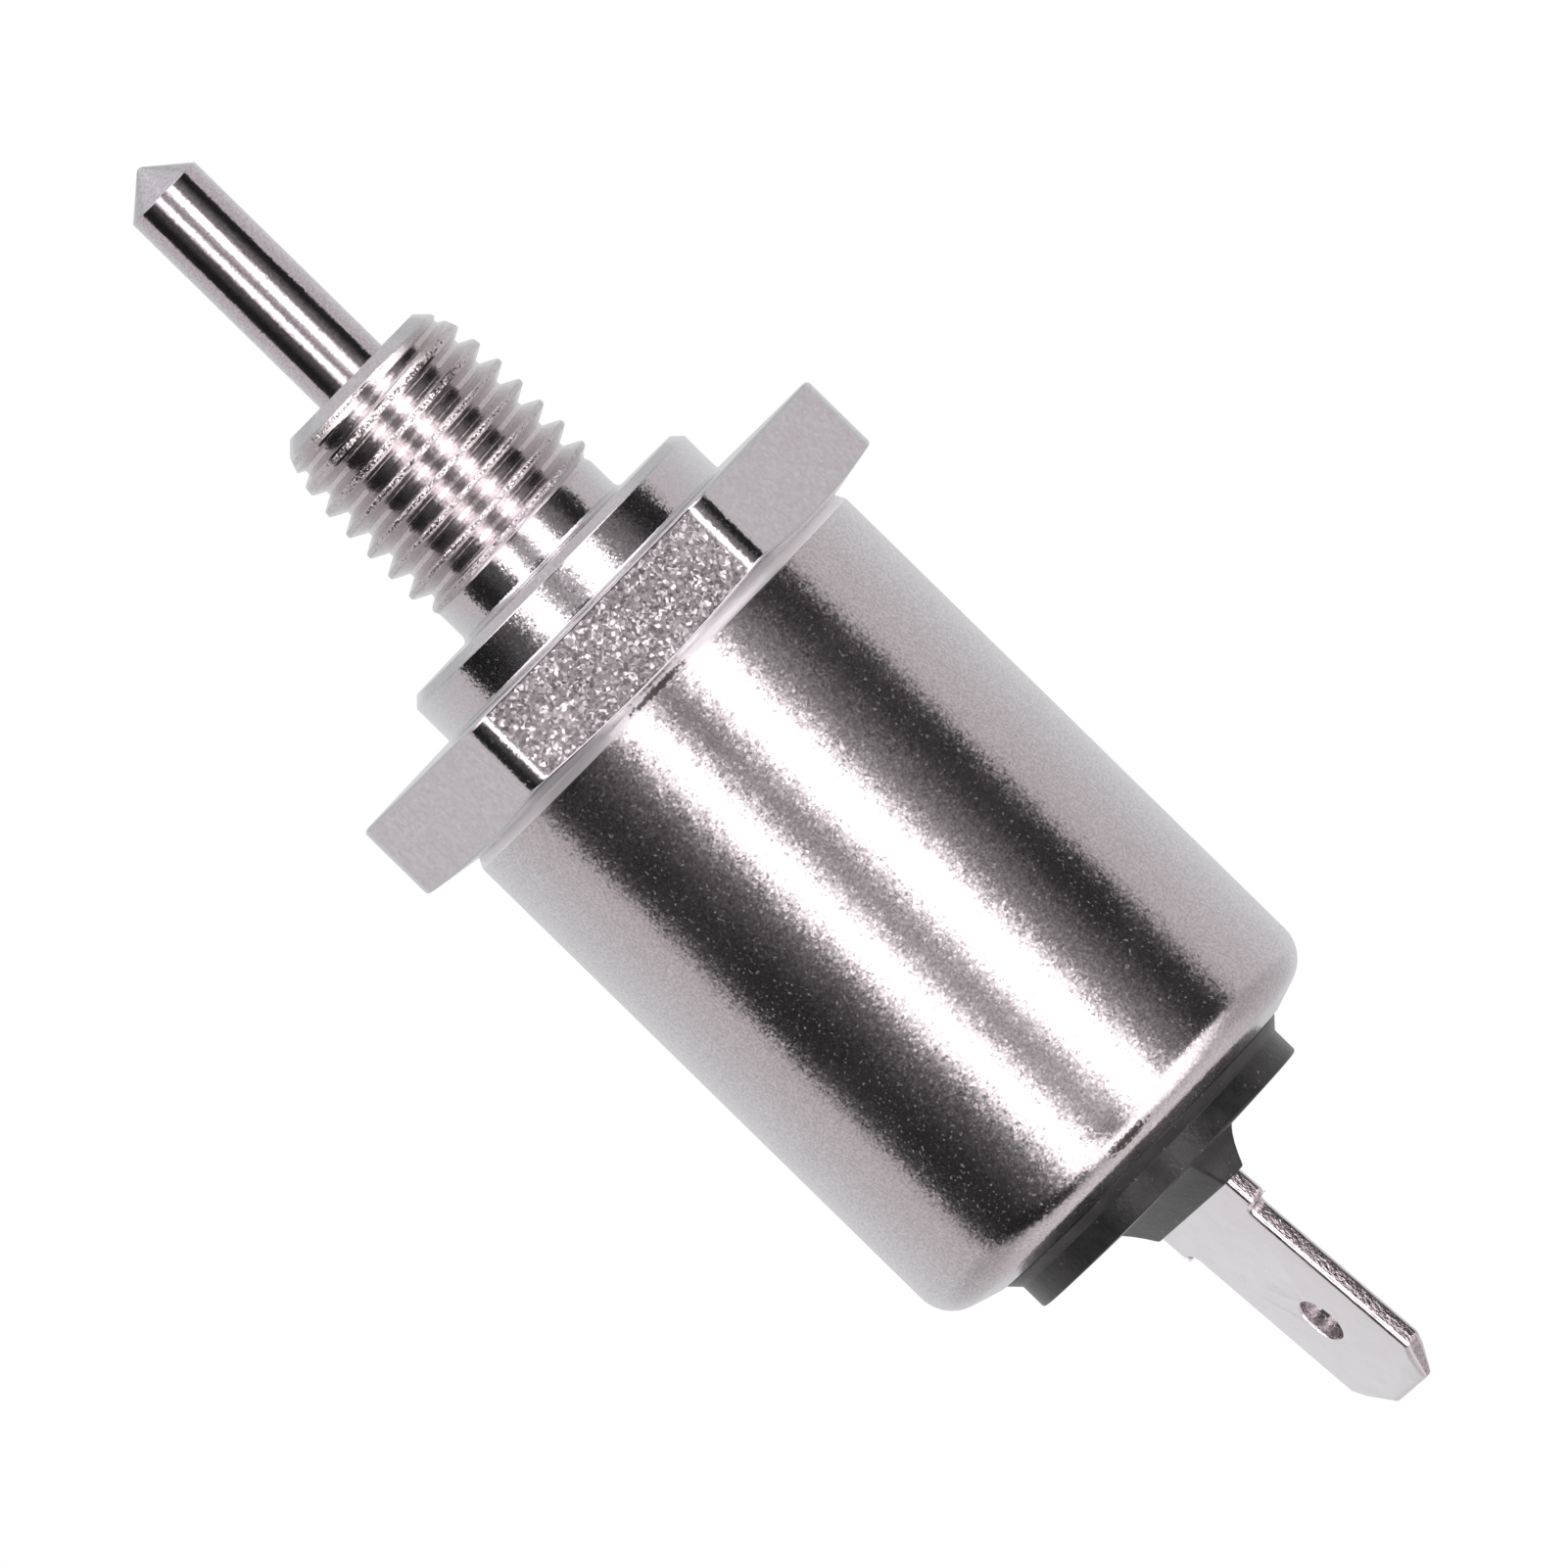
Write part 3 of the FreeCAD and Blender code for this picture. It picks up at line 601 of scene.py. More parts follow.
def plate_outline():
    """Flat outline of the terminal in its own frame, as (across, along) points, with its tip height."""
    lean = math.cos(math.radians(TERMINAL_LEAN))
    root_top = (SOCKET_FLOOR - TERMINAL_PIVOT) / lean - ROOT_REACH
    tag_top = (SOCKET_FLOOR - TERMINAL_PIVOT) / lean + TAG_LENGTH
    shoulder = (BOSS_REAR - TERMINAL_PIVOT) / lean - ROOT_REACH
    tip = shoulder - BLADE_LENGTH
    half = rounded((
        (0, tag_top, 0),
        (TAG_WIDTH / 2, tag_top, TAG_CORNER_RADIUS),
        (TAG_WIDTH / 2, root_top, TAG_CORNER_RADIUS),
        (ROOT_WIDTH / 2, root_top, ROOT_CORNER_RADIUS),
        (ROOT_WIDTH / 2, shoulder, SHOULDER_CORNER_RADIUS),
        (BLADE_WIDTH / 2, shoulder, SHOULDER_CORNER_RADIUS),
        (BLADE_WIDTH / 2, tip + POINT_LENGTH, POINT_CORNER_RADIUS),
        (POINT_WIDTH / 2, tip, POINT_CORNER_RADIUS),
        (0, tip, 0)), steps=5)
    return half + [Vector((-point.x, point.y)) for point in reversed(half[1:-1])], tip


def hole_form(height):
    """Round punch through the blade, a little wider at both faces."""
    half = [(HOLE_RADIUS + growth, TERMINAL_THICKNESS / 2 + past_face) for growth, past_face in HOLE_EDGE]
    half.append((0, half[-1][1]))
    outline = [(radius, -depth) for radius, depth in reversed(half)] + half
    work = bmesh.new()
    turns = even_turns(48)
    add_rings(work, [ring_of(point, turns) for point in outline], closed=False)
    work.transform(place_terminal() @ Matrix.Translation((0, 0, height * MM))
                   @ Matrix.Rotation(math.radians(90), 4, "X"))
    return to_object("hole_form", work)


OUTLINE_WELD_DISTANCE = 1e-6
CUT_SNAP_DISTANCE = 1e-7


def plate_mesh(outline):
    """Flat plate with rounded edges, standing in its own frame."""
    curve = bpy.data.curves.new("blade_outline", "CURVE")
    curve.dimensions = "2D"
    curve.fill_mode = "BOTH"
    spline = curve.splines.new("POLY")
    spline.points.add(len(outline) - 1)
    for point, place in zip(spline.points, outline):
        point.co = (place.x * MM, place.y * MM, 0, 1)
    spline.use_cyclic_u = True
    curve.offset = -BLADE_EDGE_RADIUS * MM
    curve.bevel_depth = BLADE_EDGE_RADIUS * MM
    curve.bevel_resolution = 4
    curve.extrude = (TERMINAL_THICKNESS / 2 - BLADE_EDGE_RADIUS) * MM
    holder = bpy.data.objects.new("blade_outline", curve)
    bpy.context.scene.collection.objects.link(holder)
    work = bmesh.new()
    work.from_mesh(evaluated_mesh(holder))
    bpy.data.objects.remove(holder)
    bmesh.ops.remove_doubles(work, verts=work.verts, dist=OUTLINE_WELD_DISTANCE)
    work.transform(Matrix.Rotation(math.radians(90), 4, "X"))
    return work


def make_blade():
    """Stamped plate with a pierced hole and a thinned tip."""
    outline, tip = plate_outline()
    work = plate_mesh(outline)
    bevel_start = tip + BEVEL_LENGTH
    for height in (bevel_start, bevel_start + BEVEL_SUPPORT):
        geometry = work.verts[:] + work.edges[:] + work.faces[:]
        bmesh.ops.bisect_plane(work, geom=geometry, plane_co=(0, 0, height * MM), plane_no=(0, 0, 1),
                               dist=CUT_SNAP_DISTANCE)
    half_thickness = TERMINAL_THICKNESS / 2
    for vert in work.verts:
        below = max(bevel_start - vert.co.z / MM, 0) / BEVEL_LENGTH
        vert.co.y *= 1 - min(below, 1) * BEVEL_DEPTH / half_thickness
    work.transform(place_terminal())
    piece = to_object("tinned_blade_terminal", work)
    combine(piece, hole_form(tip + HOLE_FROM_TIP), "DIFFERENCE")
    smooth(piece.data, 30)
    face_direction = place_terminal().to_3x3() @ Vector((0, 1, 0))
    for face in piece.data.polygons:
        on_edge = abs(face.normal.dot(face_direction)) < 0.1
        face.material_index = 1 if on_edge else 0
    return piece


# Return spring

def make_spring():
    """Round wire wound with closed ends."""
    active_length = SPRING_TOP - SPRING_BOTTOM - 2 * SPRING_CLOSED_TURNS * SPRING_CLOSED_PITCH
    active_pitch = active_length / SPRING_ACTIVE_TURNS
    total = 2 * SPRING_CLOSED_TURNS + SPRING_ACTIVE_TURNS
    steps_per_turn = 28
    sides = 12
    rings = []
    step_count = round(total * steps_per_turn)
    for step in range(step_count + 1):
        turn = total * step / step_count
        closed = min(turn, SPRING_CLOSED_TURNS) + max(turn - SPRING_CLOSED_TURNS - SPRING_ACTIVE_TURNS, 0)
        height = SPRING_TOP - closed * SPRING_CLOSED_PITCH - (turn - closed) * active_pitch
        angle = 2 * math.pi * turn
        outwards = Vector((math.cos(angle), math.sin(angle), 0))
        upwards = Vector((0, 0, 1))
        centre = outwards * SPRING_RADIUS + upwards * height
        rings.append([(centre + (outwards * math.cos(side) + upwards * math.sin(side)) * SPRING_WIRE / 2) * MM
                      for side in even_turns(sides)])
    work = bmesh.new()
    add_rings(work, rings, closed=False)
    cap_ends(work, sides)
    return to_object("wound_return_spring", work)


# Materials

def add(tree, kind, inputs=None, **settings):
    """Node with its settings, and its inputs set to values or linked to sockets."""
    made = tree.nodes.new(kind)
    for key, value in settings.items():
        setattr(made, key, value)
    for key, value in (inputs or {}).items():
        if isinstance(value, bpy.types.NodeSocket):
            tree.links.new(value, made.inputs[key])
        else:
            made.inputs[key].default_value = value
    return made


def maths(tree, operation, first, second=0.0):
    return add(tree, "ShaderNodeMath", {0: first, 1: second}, operation=operation).outputs[0]


def vector_maths(tree, operation, first, second):
    return add(tree, "ShaderNodeVectorMath", {0: first, 1: second}, operation=operation).outputs[0]


def scaled(tree, vector, factor):
    return add(tree, "ShaderNodeVectorMath", {0: vector, 3: factor}, operation="SCALE").outputs[0]


def new_material(name):
    material = bpy.data.materials.new(name)
    material.use_nodes = True
    tree = material.node_tree
    tree.nodes.clear()
    shader = add(tree, "ShaderNodeBsdfPrincipled")
    add(tree, "ShaderNodeOutputMaterial", {"Surface": shader.outputs[0]})
    place = add(tree, "ShaderNodeTexCoord").outputs["Object"]
    return material, tree, shader, place


def stretched(tree, place, scale):
    """Coordinates that draw a pattern out along the axes whose scale is under 1."""
    return add(tree, "ShaderNodeMapping", {"Vector": place, "Scale": scale}).outputs[0]


def noise(tree, place, size, detail=2.0, roughness=0.5):
    """Noise whose features are about this many millimetres."""
    return add(tree, "ShaderNodeTexNoise", {"Vector": place, "Scale": 1 / (size * MM), "Detail": detail,
                                            "Roughness": roughness}).outputs["Fac"]


def ramp(tree, value, low, high, to_low=0.0, to_high=1.0):
    """Smooth step of a value from one level to another."""
    inputs = {"Value": value, "From Min": low, "From Max": high, "To Min": to_low, "To Max": to_high}
    return add(tree, "ShaderNodeMapRange", inputs, interpolation_type="SMOOTHSTEP").outputs[0]


def mixed_colour(tree, share, first, second):
    """Mix of two colours, each a tuple or a socket."""
    node = add(tree, "ShaderNodeMix", {"Factor": share}, data_type="RGBA")
    for index, colour in ((6, first), (7, second)):
        if isinstance(colour, bpy.types.NodeSocket):
            tree.links.new(colour, node.inputs[index])
        else:
            node.inputs[index].default_value = (*colour, 1)
    return node.outputs[2]


def facets(tree, place, size, tilt, normal=None, sparse=False):
    """Normal that is tilted at random from grain to grain. Of sparse grains only a few are tilted much."""
    grain = add(tree, "ShaderNodeTexVoronoi", {"Vector": place, "Scale": 1 / (size * MM)}, feature="F1")
    centred = vector_maths(tree, "SUBTRACT", grain.outputs["Color"], (0.5, 0.5, 0.5))
    if sparse:
        squared = vector_maths(tree, "MULTIPLY", centred, centred)
        centred = vector_maths(tree, "MULTIPLY", centred, squared)
        tilt = 4 * tilt
    base = normal or add(tree, "ShaderNodeNewGeometry").outputs["Normal"]
    total = vector_maths(tree, "ADD", base, scaled(tree, centred, tilt))
    return add(tree, "ShaderNodeVectorMath", {0: total}, operation="NORMALIZE").outputs[0]


def bumped(tree, shader, layers, normal=None):
    """Chain of bumps. Each layer is (height socket, feature size in millimetres, slope)."""
    for height, size, slope in layers:
        inputs = {"Height": height, "Distance": slope * size * MM}
        if normal is not None:
            inputs["Normal"] = normal
        normal = add(tree, "ShaderNodeBump", inputs).outputs[0]
    tree.links.new(normal, shader.inputs["Normal"])


# Dark reflections painted on the can as spindles: (x, z, half length, half width)
DARK_REFLECTION_COLOUR = (0.05, 0.035, 0.03)
SEAM_DARK_REFLECTIONS = ((-0.15, -5.57, 1.4, 0.15),)
CORNER_DARK_REFLECTIONS = ((0.1, -27.58, 1.05, 0.18),)


def painted_dark_reflections(tree, place, base, dark_reflections):
    """Painted dark reflections: dark spindles with frayed edges, on the front half only, which faces the
    camera.
    """
    axes = add(tree, "ShaderNodeSeparateXYZ", {0: place})
    in_front = maths(tree, "LESS_THAN", axes.outputs["Y"])
    for x, z, half_length, half_width in dark_reflections:
        across = vector_maths(tree, "SUBTRACT", place, (x * MM, 0, z * MM))
        flat = vector_maths(tree, "MULTIPLY", across, (1 / (half_length * MM), 0, 1 / (half_width * MM)))
        reach = add(tree, "ShaderNodeVectorMath", {0: flat}, operation="LENGTH").outputs["Value"]
        fray = ramp(tree, noise(tree, place, 0.12), 0.3, 0.7, -0.3, 0.3)
        inside = ramp(tree, maths(tree, "ADD", reach, fray), 0.6, 1.1, 0.9, 0.0)
        base = mixed_colour(tree, maths(tree, "MULTIPLY", inside, in_front), base, DARK_REFLECTION_COLOUR)
    return base


DUST_COLOUR = (0.4, 0.4, 0.4)
SPECKLE_SIZE = 0.1
SMUDGE_SIZE = 1.6


def metal(name, colour, roughness, layers, spread=0.05, patch=2.0, smudge=None, smudge_share=0.3, grains=(),
          flecks=(), speckle=0.0, dark_reflections=(), dust=0.0):
    """Metal with a fine grain and patches of slightly different gloss.

    Each layer is (feature size, slope, stretch of the coordinates, detail), and each grain and sparse fleck
    is (size, tilt). The speckle is the share by which the colour changes from spot to spot, a smudge is a
    colour that shows in places, and dust is how far tiny specks take the metal's shine away."""
    material, tree, shader, place = new_material(name)
    shader.inputs["Metallic"].default_value = 1.0
    if dust:
        shine = ramp(tree, noise(tree, place, 0.12), 0.62, 0.72, 1.0, 1.0 - dust)
        tree.links.new(shine, shader.inputs["Metallic"])
    patches = ramp(tree, noise(tree, place, patch, 3.0), 0.3, 0.7, roughness - spread, roughness + spread)
    tree.links.new(patches, shader.inputs["Roughness"])
    base = colour
    if speckle:
        spots = ramp(tree, noise(tree, place, SPECKLE_SIZE), 0.35, 0.65)
        base = mixed_colour(tree, spots, [part * (1 - speckle) for part in colour],
                            [part * (1 + speckle) for part in colour])
    if smudge:
        smears = ramp(tree, noise(tree, place, SMUDGE_SIZE, 5.0, 0.65), 0.62, 0.78, 0.0, smudge_share)
        base = mixed_colour(tree, smears, base, smudge)
    # Painted dark reflections go into the colour here.
    if dark_reflections:
        base = painted_dark_reflections(tree, place, base, dark_reflections)
    if isinstance(base, tuple):
        shader.inputs["Base Color"].default_value = (*base, 1)
    else:
        tree.links.new(base, shader.inputs["Base Color"])
    normal = None
    for size, tilt in grains:
        normal = facets(tree, place, size, tilt, normal)
    for size, tilt in flecks:
        normal = facets(tree, place, size, tilt, normal, sparse=True)
    bumped(tree, shader, [(noise(tree, stretched(tree, place, stretch), size, detail), size, slope)
                          for size, slope, stretch, detail in layers], normal)
    return material


def solid(name, colour, other_colour, roughness, size, slope, patch=0.8, metallic=0.0, dark_reflections=(), dust=0.0):
    """Plastic, rubber or fibre whose colour and surface vary a little, or plating painted near white as a
    highlight.

    The dark reflections are painted as dark spindles, and dust is how strongly pale specks show."""
    material, tree, shader, place = new_material(name)
    share = ramp(tree, noise(tree, place, patch, 4.0), 0.35, 0.7)
    base = mixed_colour(tree, share, colour, other_colour)
    if dust:
        specks = ramp(tree, noise(tree, place, 0.2), 0.68, 0.76, 0.0, dust)
        base = mixed_colour(tree, specks, base, DUST_COLOUR)
    # Painted dark reflections go into the colour here.
    if dark_reflections:
        base = painted_dark_reflections(tree, place, base, dark_reflections)
    tree.links.new(base, shader.inputs["Base Color"])
    shader.inputs["Metallic"].default_value = metallic
    shader.inputs["Roughness"].default_value = roughness
    bumped(tree, shader, [(noise(tree, place, size, 3.0), size, slope)])
    return material


# Colours are linear. EVEN is a stretch that leaves the coordinates as they are.
EVEN = (1, 1, 1)

MATERIALS = {
    "turned_steel": metal("turned_steel", (0.79, 0.79, 0.815), 0.13,
                          [(0.06, 0.02, (0.1, 0.1, 1.0), 2.0), (0.05, 0.02, EVEN, 2.0)], 0.03,
                          flecks=((0.1, 0.05), (0.06, 0.11)), speckle=0.05, dust=0.1),
    "rolled_thread": metal("rolled_thread", (0.78, 0.755, 0.765), 0.15, [(0.05, 0.03, EVEN, 2.0)], 0.03,
                           grains=((0.1, 0.05),), speckle=0.06),
    "hexagon_steel": metal("hexagon_steel", (0.76, 0.735, 0.76), 0.17, [(0.3, 0.02, EVEN, 1.5)], 0.03,
                           grains=((0.13, 0.155), (0.2, 0.11))),
    "rolled_crest": metal("rolled_crest", (0.77, 0.74, 0.75), 0.25, [(0.3, 0.02, EVEN, 1.5)], 0.03,
                          grains=((0.06, 0.5),)),
    # The can has a painted dark reflection at its rear corner.
    "plated_can": metal("plated_can", (0.75, 0.735, 0.755), 0.2, [(6.0, 0.006, EVEN, 1.0)], 0.015, 3.0,
                        (0.55, 0.45, 0.38), 0.25, flecks=((0.11, 0.07), (0.07, 0.08)), speckle=0.12,
                        dark_reflections=CORNER_DARK_REFLECTIONS, dust=0.25),
    # Front rim of the can: plating painted near white as a highlight, with a painted dark reflection at the
    # seam.
    "painted_highlight_rim": solid("painted_highlight_rim", (0.98, 0.96, 0.97), (0.96, 0.94, 0.95), 0.22, 0.1, 0.02, metallic=0.5,
                        dark_reflections=SEAM_DARK_REFLECTIONS),
    "polished_steel": metal("polished_steel", (0.74, 0.71, 0.745), 0.11,
                            [(0.12, 0.015, (1.0, 1.0, 0.06), 2.0), (0.05, 0.01, EVEN, 1.0)], 0.02,
                            flecks=((0.08, 0.05),), speckle=0.12),
    "soft_iron": metal("soft_iron", (0.5, 0.5, 0.51), 0.3, [(0.08, 0.05, (0.1, 0.1, 1.0), 2.0)]),
    "spring_steel": metal("spring_steel", (0.6, 0.6, 0.61), 0.25, [(0.05, 0.04, EVEN, 2.0)]),
    "brass": metal("brass", (0.8, 0.62, 0.32), 0.24, [(0.06, 0.04, (1.0, 1.0, 0.2), 2.0)]),
    "copper_wire": metal("copper_wire", (0.76, 0.36, 0.16), 0.3, [(0.12, 0.5, (0.02, 0.02, 1.0), 0.0)]),
    "solder": metal("solder", (0.72, 0.72, 0.73), 0.3, [(0.2, 0.1, EVEN, 3.0)]),
    "blade_face": metal("blade_face", (0.995, 0.975, 0.995), 0.24,
                        [(0.1, 0.08, (1.0, 1.0, 0.15), 2.0), (0.5, 0.03, EVEN, 2.0)], 0.05, 0.8,
                        (0.93, 0.86, 0.89), 0.8),
    "blade_edge": metal("blade_edge", (0.58, 0.54, 0.56), 0.22, [(0.1, 0.35, (1.0, 1.0, 0.6), 3.0)], 0.08,
                        0.3, speckle=0.25),
    "black_plastic": solid("black_plastic", (0.016, 0.016, 0.017), (0.03, 0.03, 0.031), 0.32, 0.15, 0.1,
                           dust=0.3),
    "nylon": solid("nylon", (0.72, 0.69, 0.6), (0.66, 0.63, 0.55), 0.5, 0.2, 0.05),
    "tape": solid("tape", (0.66, 0.42, 0.1), (0.58, 0.36, 0.08), 0.35, 0.3, 0.05),
    "fibre": solid("fibre", (0.4, 0.24, 0.16), (0.32, 0.19, 0.12), 0.75, 0.1, 0.2),
    "rubber": solid("rubber", (0.02, 0.02, 0.02), (0.03, 0.03, 0.03), 0.6, 0.1, 0.1),
}


def dress(piece, *names):
    """Gives a piece or a CAD node these materials, in the order of its material slots."""
    slots = piece.data.materials
    for index, name in enumerate(names):
        if index < len(slots):
            slots[index] = MATERIALS[name]
        else:
            slots.append(MATERIALS[name])


def place_piece(piece, body, node, slot, *names):
    """A finished piece stands for a CAD node and rides on its body. Its slot argument is not used."""
    dress(piece, *names)
    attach(piece, body)
    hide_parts(node)


place_piece(make_valve_body(), "housing", "valve_body", "plated_steel", "turned_steel", "hexagon_steel",
            "rolled_crest", "rolled_thread")
place_piece(make_can(), "housing", "casing_can", "plated_can", "plated_can", "painted_highlight_rim")
place_piece(make_pin(), "plunger", "needle_pin", "polished_steel", "polished_steel")
place_piece(make_insulator(), "housing", "tail_insulator", "black_plastic", "black_plastic")
place_piece(make_blade(), "housing", "blade_terminal", "tinned_brass", "blade_face", "blade_edge")

spring = make_spring()
place_piece(spring, "housing", "return_spring", "spring_steel", "spring_steel")
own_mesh(spring)

INSIDE = {
    "armature": "soft_iron", "fixed_core": "soft_iron", "rear_flux_plate": "soft_iron", "guide_tube": "brass",
    "anti_stick_shim": "brass", "bobbin": "nylon", "coil_winding": "copper_wire", "coil_tape": "tape",
    "insulating_washer": "fibre", "front_seal_ring": "rubber", "rear_seal_ring": "rubber",
    "live_lead": "copper_wire", "ground_lead": "copper_wire", "live_solder": "solder",
    "ground_solder": "solder",
}
for node_name, material_name in INSIDE.items():
    dress(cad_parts[node_name], material_name)


# Light: a pale room that metal mirrors, open at the front. Two tall soft boxes stand in the opening, with a
# dim slit between them and dark walls beside them. A darker shelf runs round the sides and back, and a notch
# and a blob darken the room above the slit. Angles are degrees: azimuth from the camera, positive to the
# right, and rise above the horizon. A fade is (from, to, level there, level at its end).

BACKDROP_LEVEL = 1.0
DIFFUSE_LEVEL = 0.8
BOX_LEVEL = 4.0
UPPER_LEVEL = 1.1
ROOM_TURN = 0.8
SLIT_AZIMUTH = -1.5

OPENING_RIGHT = (82, 85, 1, 0)
OPENING_LEFT = (-88, -85, 0, 1)
OPENING_HEIGHT = (20, 26, 1, 0)
LOW_OPENING_RISE = (-80, -66, 0, 1)
LOW_OPENING_RIGHT = (-40, -32, 1, 0)
RIGHT_WALL = (37, 66, 0.22, 0.014)
RIGHT_WALL_EDGE = (76, 84, 0, 0.012)
LEFT_WALL = (-64, -37, 0.011, 0.09)
LEFT_WALL_EDGE = (-84, -74, 0.01, 0)
BOXES_RIGHT = (14, 38, 1, 0)
BOXES_LEFT = (-37.5, -13.5, 0, 1)
BOXES_INNER = (4.5, 25, 0, 1)
SLIT_WIDTH = (4, 10, 1, 0)
SLIT_HEIGHT = (3, 6, 0.28, 0.02)

ROOM_LEVEL = (87, 170, 0.57, 0.74)
UPPER_WIDTH = (48, 88, UPPER_LEVEL, 0)
UPPER_HEIGHT = (62, 78, 1, 0)
SHELF_LOW = (12, 24, 0, 0.14)
SHELF_HIGH = (42, 58, 1, 0)
SHELF_INNER = (70, 85, 0, 1)
NOTCH_WIDTH = (5, 10, 0.95, 0)
NOTCH_HEIGHT = (45, 55, 1, 0)
BLOB_WIDTH = (9, 19, 0.95, 0)
BLOB_LOW = (24, 34, 0, 1)
BLOB_HIGH = (56, 66, 1, 0)
TINT_INNER = (95, 140, 0, 1)
TINT_LOW = (-44, -18, 0, 1)
WARM_TINT = (1.0, 0.91, 0.925)
COOL_TINT = (0.99, 0.985, 0.995)


def make_world():
    """World in which metal mirrors the room, the rest gets even light and the camera sees plain white."""
    world = bpy.data.worlds.new("studio")
    bpy.context.scene.world = world
    world.use_nodes = True
    tree = world.node_tree
    tree.nodes.clear()

    def one_less(value):
        return maths(tree, "SUBTRACT", 1.0, value)

    def product(first, second):
        return maths(tree, "MULTIPLY", first, second)

    def total(first, second):
        return maths(tree, "ADD", first, second)

    def fade(value, settings):
        return ramp(tree, value, *settings)

    direction = add(tree, "ShaderNodeSeparateXYZ", {0: add(tree, "ShaderNodeTexCoord").outputs["Generated"]})
    x, y, z = direction.outputs
    turn = maths(tree, "ARCTAN2", x, product(y, -1.0))
    azimuth = maths(tree, "SUBTRACT", maths(tree, "DEGREES", turn), ROOM_TURN)
    rise = maths(tree, "DEGREES", maths(tree, "ARCSINE", z))
    from_front = maths(tree, "ABSOLUTE", azimuth)
    from_horizon = maths(tree, "ABSOLUTE", rise)
    from_slit = maths(tree, "ABSOLUTE", maths(tree, "SUBTRACT", azimuth, SLIT_AZIMUTH))

    width = product(fade(azimuth, OPENING_RIGHT), fade(azimuth, OPENING_LEFT))
    low = product(product(fade(rise, LOW_OPENING_RISE), maths(tree, "LESS_THAN", rise)),
                  fade(azimuth, LOW_OPENING_RIGHT))
    opening = product(width, maths(tree, "MAXIMUM", fade(from_horizon, OPENING_HEIGHT), low))

    right_wall = product(total(fade(azimuth, RIGHT_WALL), fade(azimuth, RIGHT_WALL_EDGE)),
                         maths(tree, "GREATER_THAN", azimuth))
    left_wall = product(total(fade(azimuth, LEFT_WALL), fade(azimuth, LEFT_WALL_EDGE)),
                        maths(tree, "LESS_THAN", azimuth))
    boxes = product(product(fade(azimuth, BOXES_RIGHT), fade(azimuth, BOXES_LEFT)),
                    fade(from_slit, BOXES_INNER))
    slit = product(fade(from_slit, SLIT_WIDTH), fade(from_horizon, SLIT_HEIGHT))
    front = total(total(total(right_wall, left_wall), slit), product(boxes, BOX_LEVEL))

    upper = product(fade(from_front, UPPER_WIDTH), fade(from_horizon, UPPER_HEIGHT))
    shelf = product(product(fade(from_horizon, SHELF_LOW), fade(from_horizon, SHELF_HIGH)),
                    fade(from_front, SHELF_INNER))
    notch = product(fade(from_slit, NOTCH_WIDTH), fade(from_horizon, NOTCH_HEIGHT))
    blob = product(fade(from_slit, BLOB_WIDTH), product(fade(rise, BLOB_LOW), fade(rise, BLOB_HIGH)))
    room = maths(tree, "SUBTRACT", total(fade(from_front, ROOM_LEVEL), upper), shelf)
    room = product(room, one_less(maths(tree, "MAXIMUM", notch, blob)))

    level = total(product(front, opening), product(room, one_less(opening)))
    cool = product(fade(from_front, TINT_INNER), fade(rise, TINT_LOW))
    tint = mixed_colour(tree, cool, WARM_TINT, COOL_TINT)
    mirrored = add(tree, "ShaderNodeBackground", {"Color": tint, "Strength": level})
    plain = add(tree, "ShaderNodeBackground", {"Color": (1, 1, 1, 1), "Strength": DIFFUSE_LEVEL})
    backdrop = add(tree, "ShaderNodeBackground", {"Color": (1, 1, 1, 1), "Strength": BACKDROP_LEVEL})
    path = add(tree, "ShaderNodeLightPath")
    glossy = maths(tree, "MAXIMUM", path.outputs["Is Glossy Ray"], path.outputs["Is Transmission Ray"])
    lit = add(tree, "ShaderNodeMixShader", {0: glossy, 1: plain.outputs[0], 2: mirrored.outputs[0]})
    seen = add(tree, "ShaderNodeMixShader", {0: path.outputs["Is Camera Ray"], 1: lit.outputs[0],
                                             2: backdrop.outputs[0]})
    add(tree, "ShaderNodeOutputWorld", {"Surface": seen.outputs[0]})


# Lamps, floor and camera, in metres

def make_lamp(name, azimuth, elevation, distance, size, power):
    """Soft area lamp that faces the object and that metal doesn't mirror. Angles are as for the room."""
    light = bpy.data.lights.new(name, "AREA")
    light.shape = "DISK"
    light.size = size
    light.energy = power
    lamp = bpy.data.objects.new(name, light)
    turn = math.radians(azimuth)
    rise = math.radians(elevation)
    away = Vector((math.sin(turn) * math.cos(rise), -math.cos(turn) * math.cos(rise), math.sin(rise)))
    lamp.location = away * distance
    lamp.rotation_mode = "QUATERNION"
    lamp.rotation_quaternion = away.to_track_quat("Z", "Y")
    lamp.visible_glossy = False
    bpy.context.scene.collection.objects.link(lamp)


FLOOR_RADIUS = 0.32
FLOOR_HEIGHT = -0.075
FLOOR_COLOUR = (0.96, 0.96, 0.96, 1)


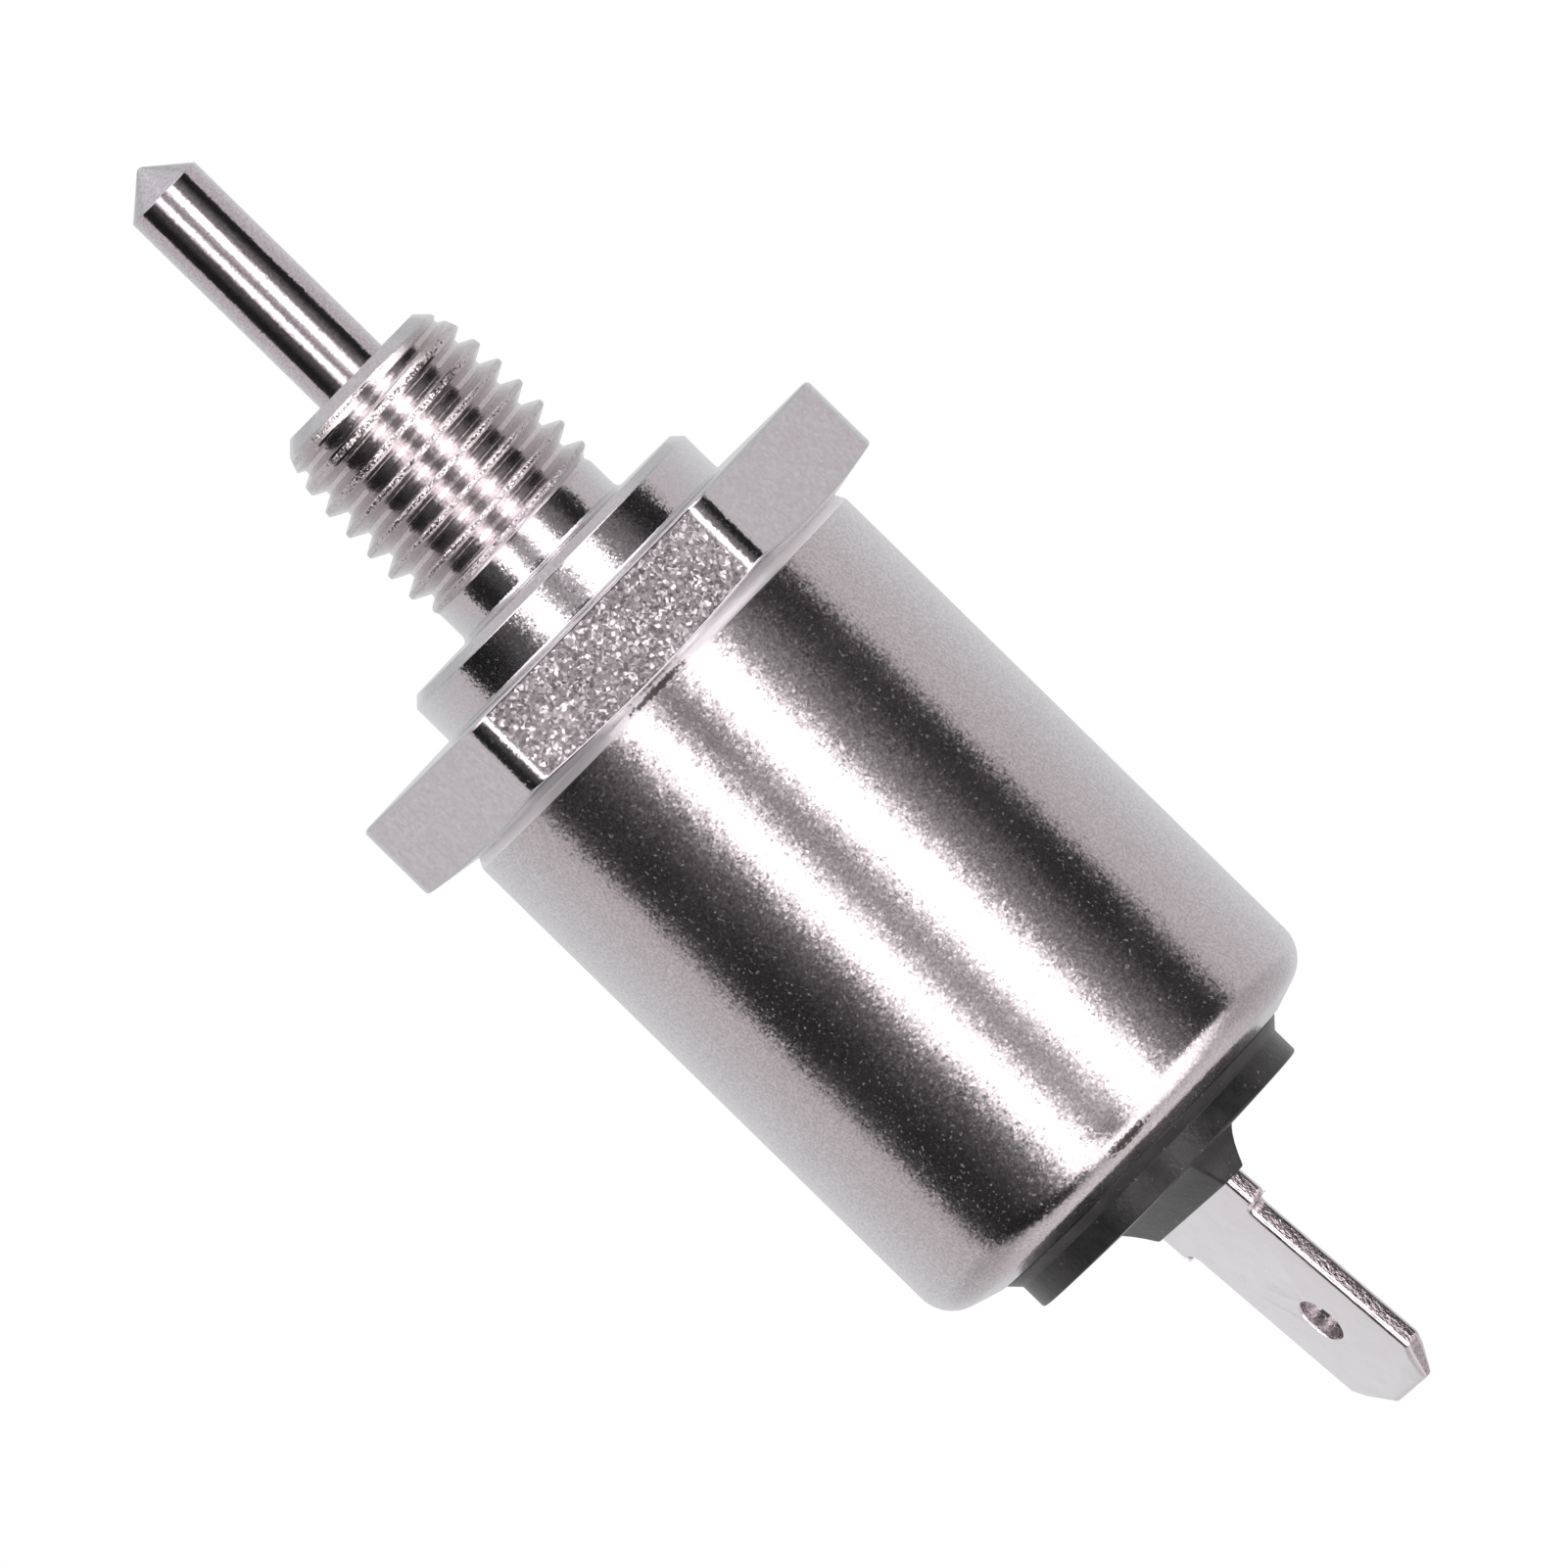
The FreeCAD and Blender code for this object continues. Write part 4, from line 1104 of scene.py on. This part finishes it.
def make_floor():
    """Pale round floor well below the object, which metal doesn't mirror and which is clear from below."""
    work = bmesh.new()
    bmesh.ops.create_circle(work, cap_ends=True, segments=96, radius=FLOOR_RADIUS)
    mesh = bpy.data.meshes.new("floor")
    work.to_mesh(mesh)
    work.free()
    floor = bpy.data.objects.new("floor", mesh)
    floor.location.z = FLOOR_HEIGHT
    bpy.context.scene.collection.objects.link(floor)
    material = bpy.data.materials.new("pale_floor")
    material.use_nodes = True
    tree = material.node_tree
    tree.nodes.clear()
    matte = add(tree, "ShaderNodeBsdfDiffuse", {"Color": FLOOR_COLOUR})
    clear = add(tree, "ShaderNodeBsdfTransparent")
    path = add(tree, "ShaderNodeLightPath")
    mirrored = add(tree, "ShaderNodeMixShader", {0: path.outputs["Is Glossy Ray"], 1: matte.outputs[0],
                                                 2: clear.outputs[0]})
    below = add(tree, "ShaderNodeNewGeometry").outputs["Backfacing"]
    shown = add(tree, "ShaderNodeMixShader", {0: below, 1: mirrored.outputs[0], 2: clear.outputs[0]})
    add(tree, "ShaderNodeOutputMaterial", {"Surface": shown.outputs[0]})
    mesh.materials.append(material)


# Camera: long lens, slightly above the seat's plane, rolled so that the axis crosses the picture

CAMERA_TARGET = Vector((0.00041, 0, -0.01105))
CAMERA_DISTANCE = 1.4825
CAMERA_TURN = math.radians(0.8)
CAMERA_ELEVATION = math.radians(1.0)
CAMERA_ROLL = math.radians(45.6)
CAMERA_LENS = 1000
CAMERA_SENSOR = 36


def make_camera():
    camera_data = bpy.data.cameras.new("camera")
    camera_data.lens = CAMERA_LENS
    camera_data.sensor_width = CAMERA_SENSOR
    camera = bpy.data.objects.new("camera", camera_data)
    turned_axes = Matrix.Rotation(CAMERA_TURN, 3, "Z")
    up = turned_axes @ Vector((0, math.sin(CAMERA_ELEVATION), math.cos(CAMERA_ELEVATION)))
    back = turned_axes @ Vector((0, -math.cos(CAMERA_ELEVATION), math.sin(CAMERA_ELEVATION)))
    side = turned_axes @ Vector((1, 0, 0))
    right = side * math.cos(CAMERA_ROLL) - up * math.sin(CAMERA_ROLL)
    top = side * math.sin(CAMERA_ROLL) + up * math.cos(CAMERA_ROLL)
    turned = Matrix((right, top, back)).transposed().to_4x4()
    camera.matrix_world = Matrix.Translation(CAMERA_TARGET + back * CAMERA_DISTANCE) @ turned
    bpy.context.scene.collection.objects.link(camera)
    bpy.context.scene.camera = camera


make_world()
make_lamp("key", -50, 45, 1.0, 0.6, 3.5)
make_lamp("fill", 60, 20, 1.2, 0.8, 2.0)
make_floor()
make_camera()
bpy.context.scene.view_settings.view_transform = "Standard"
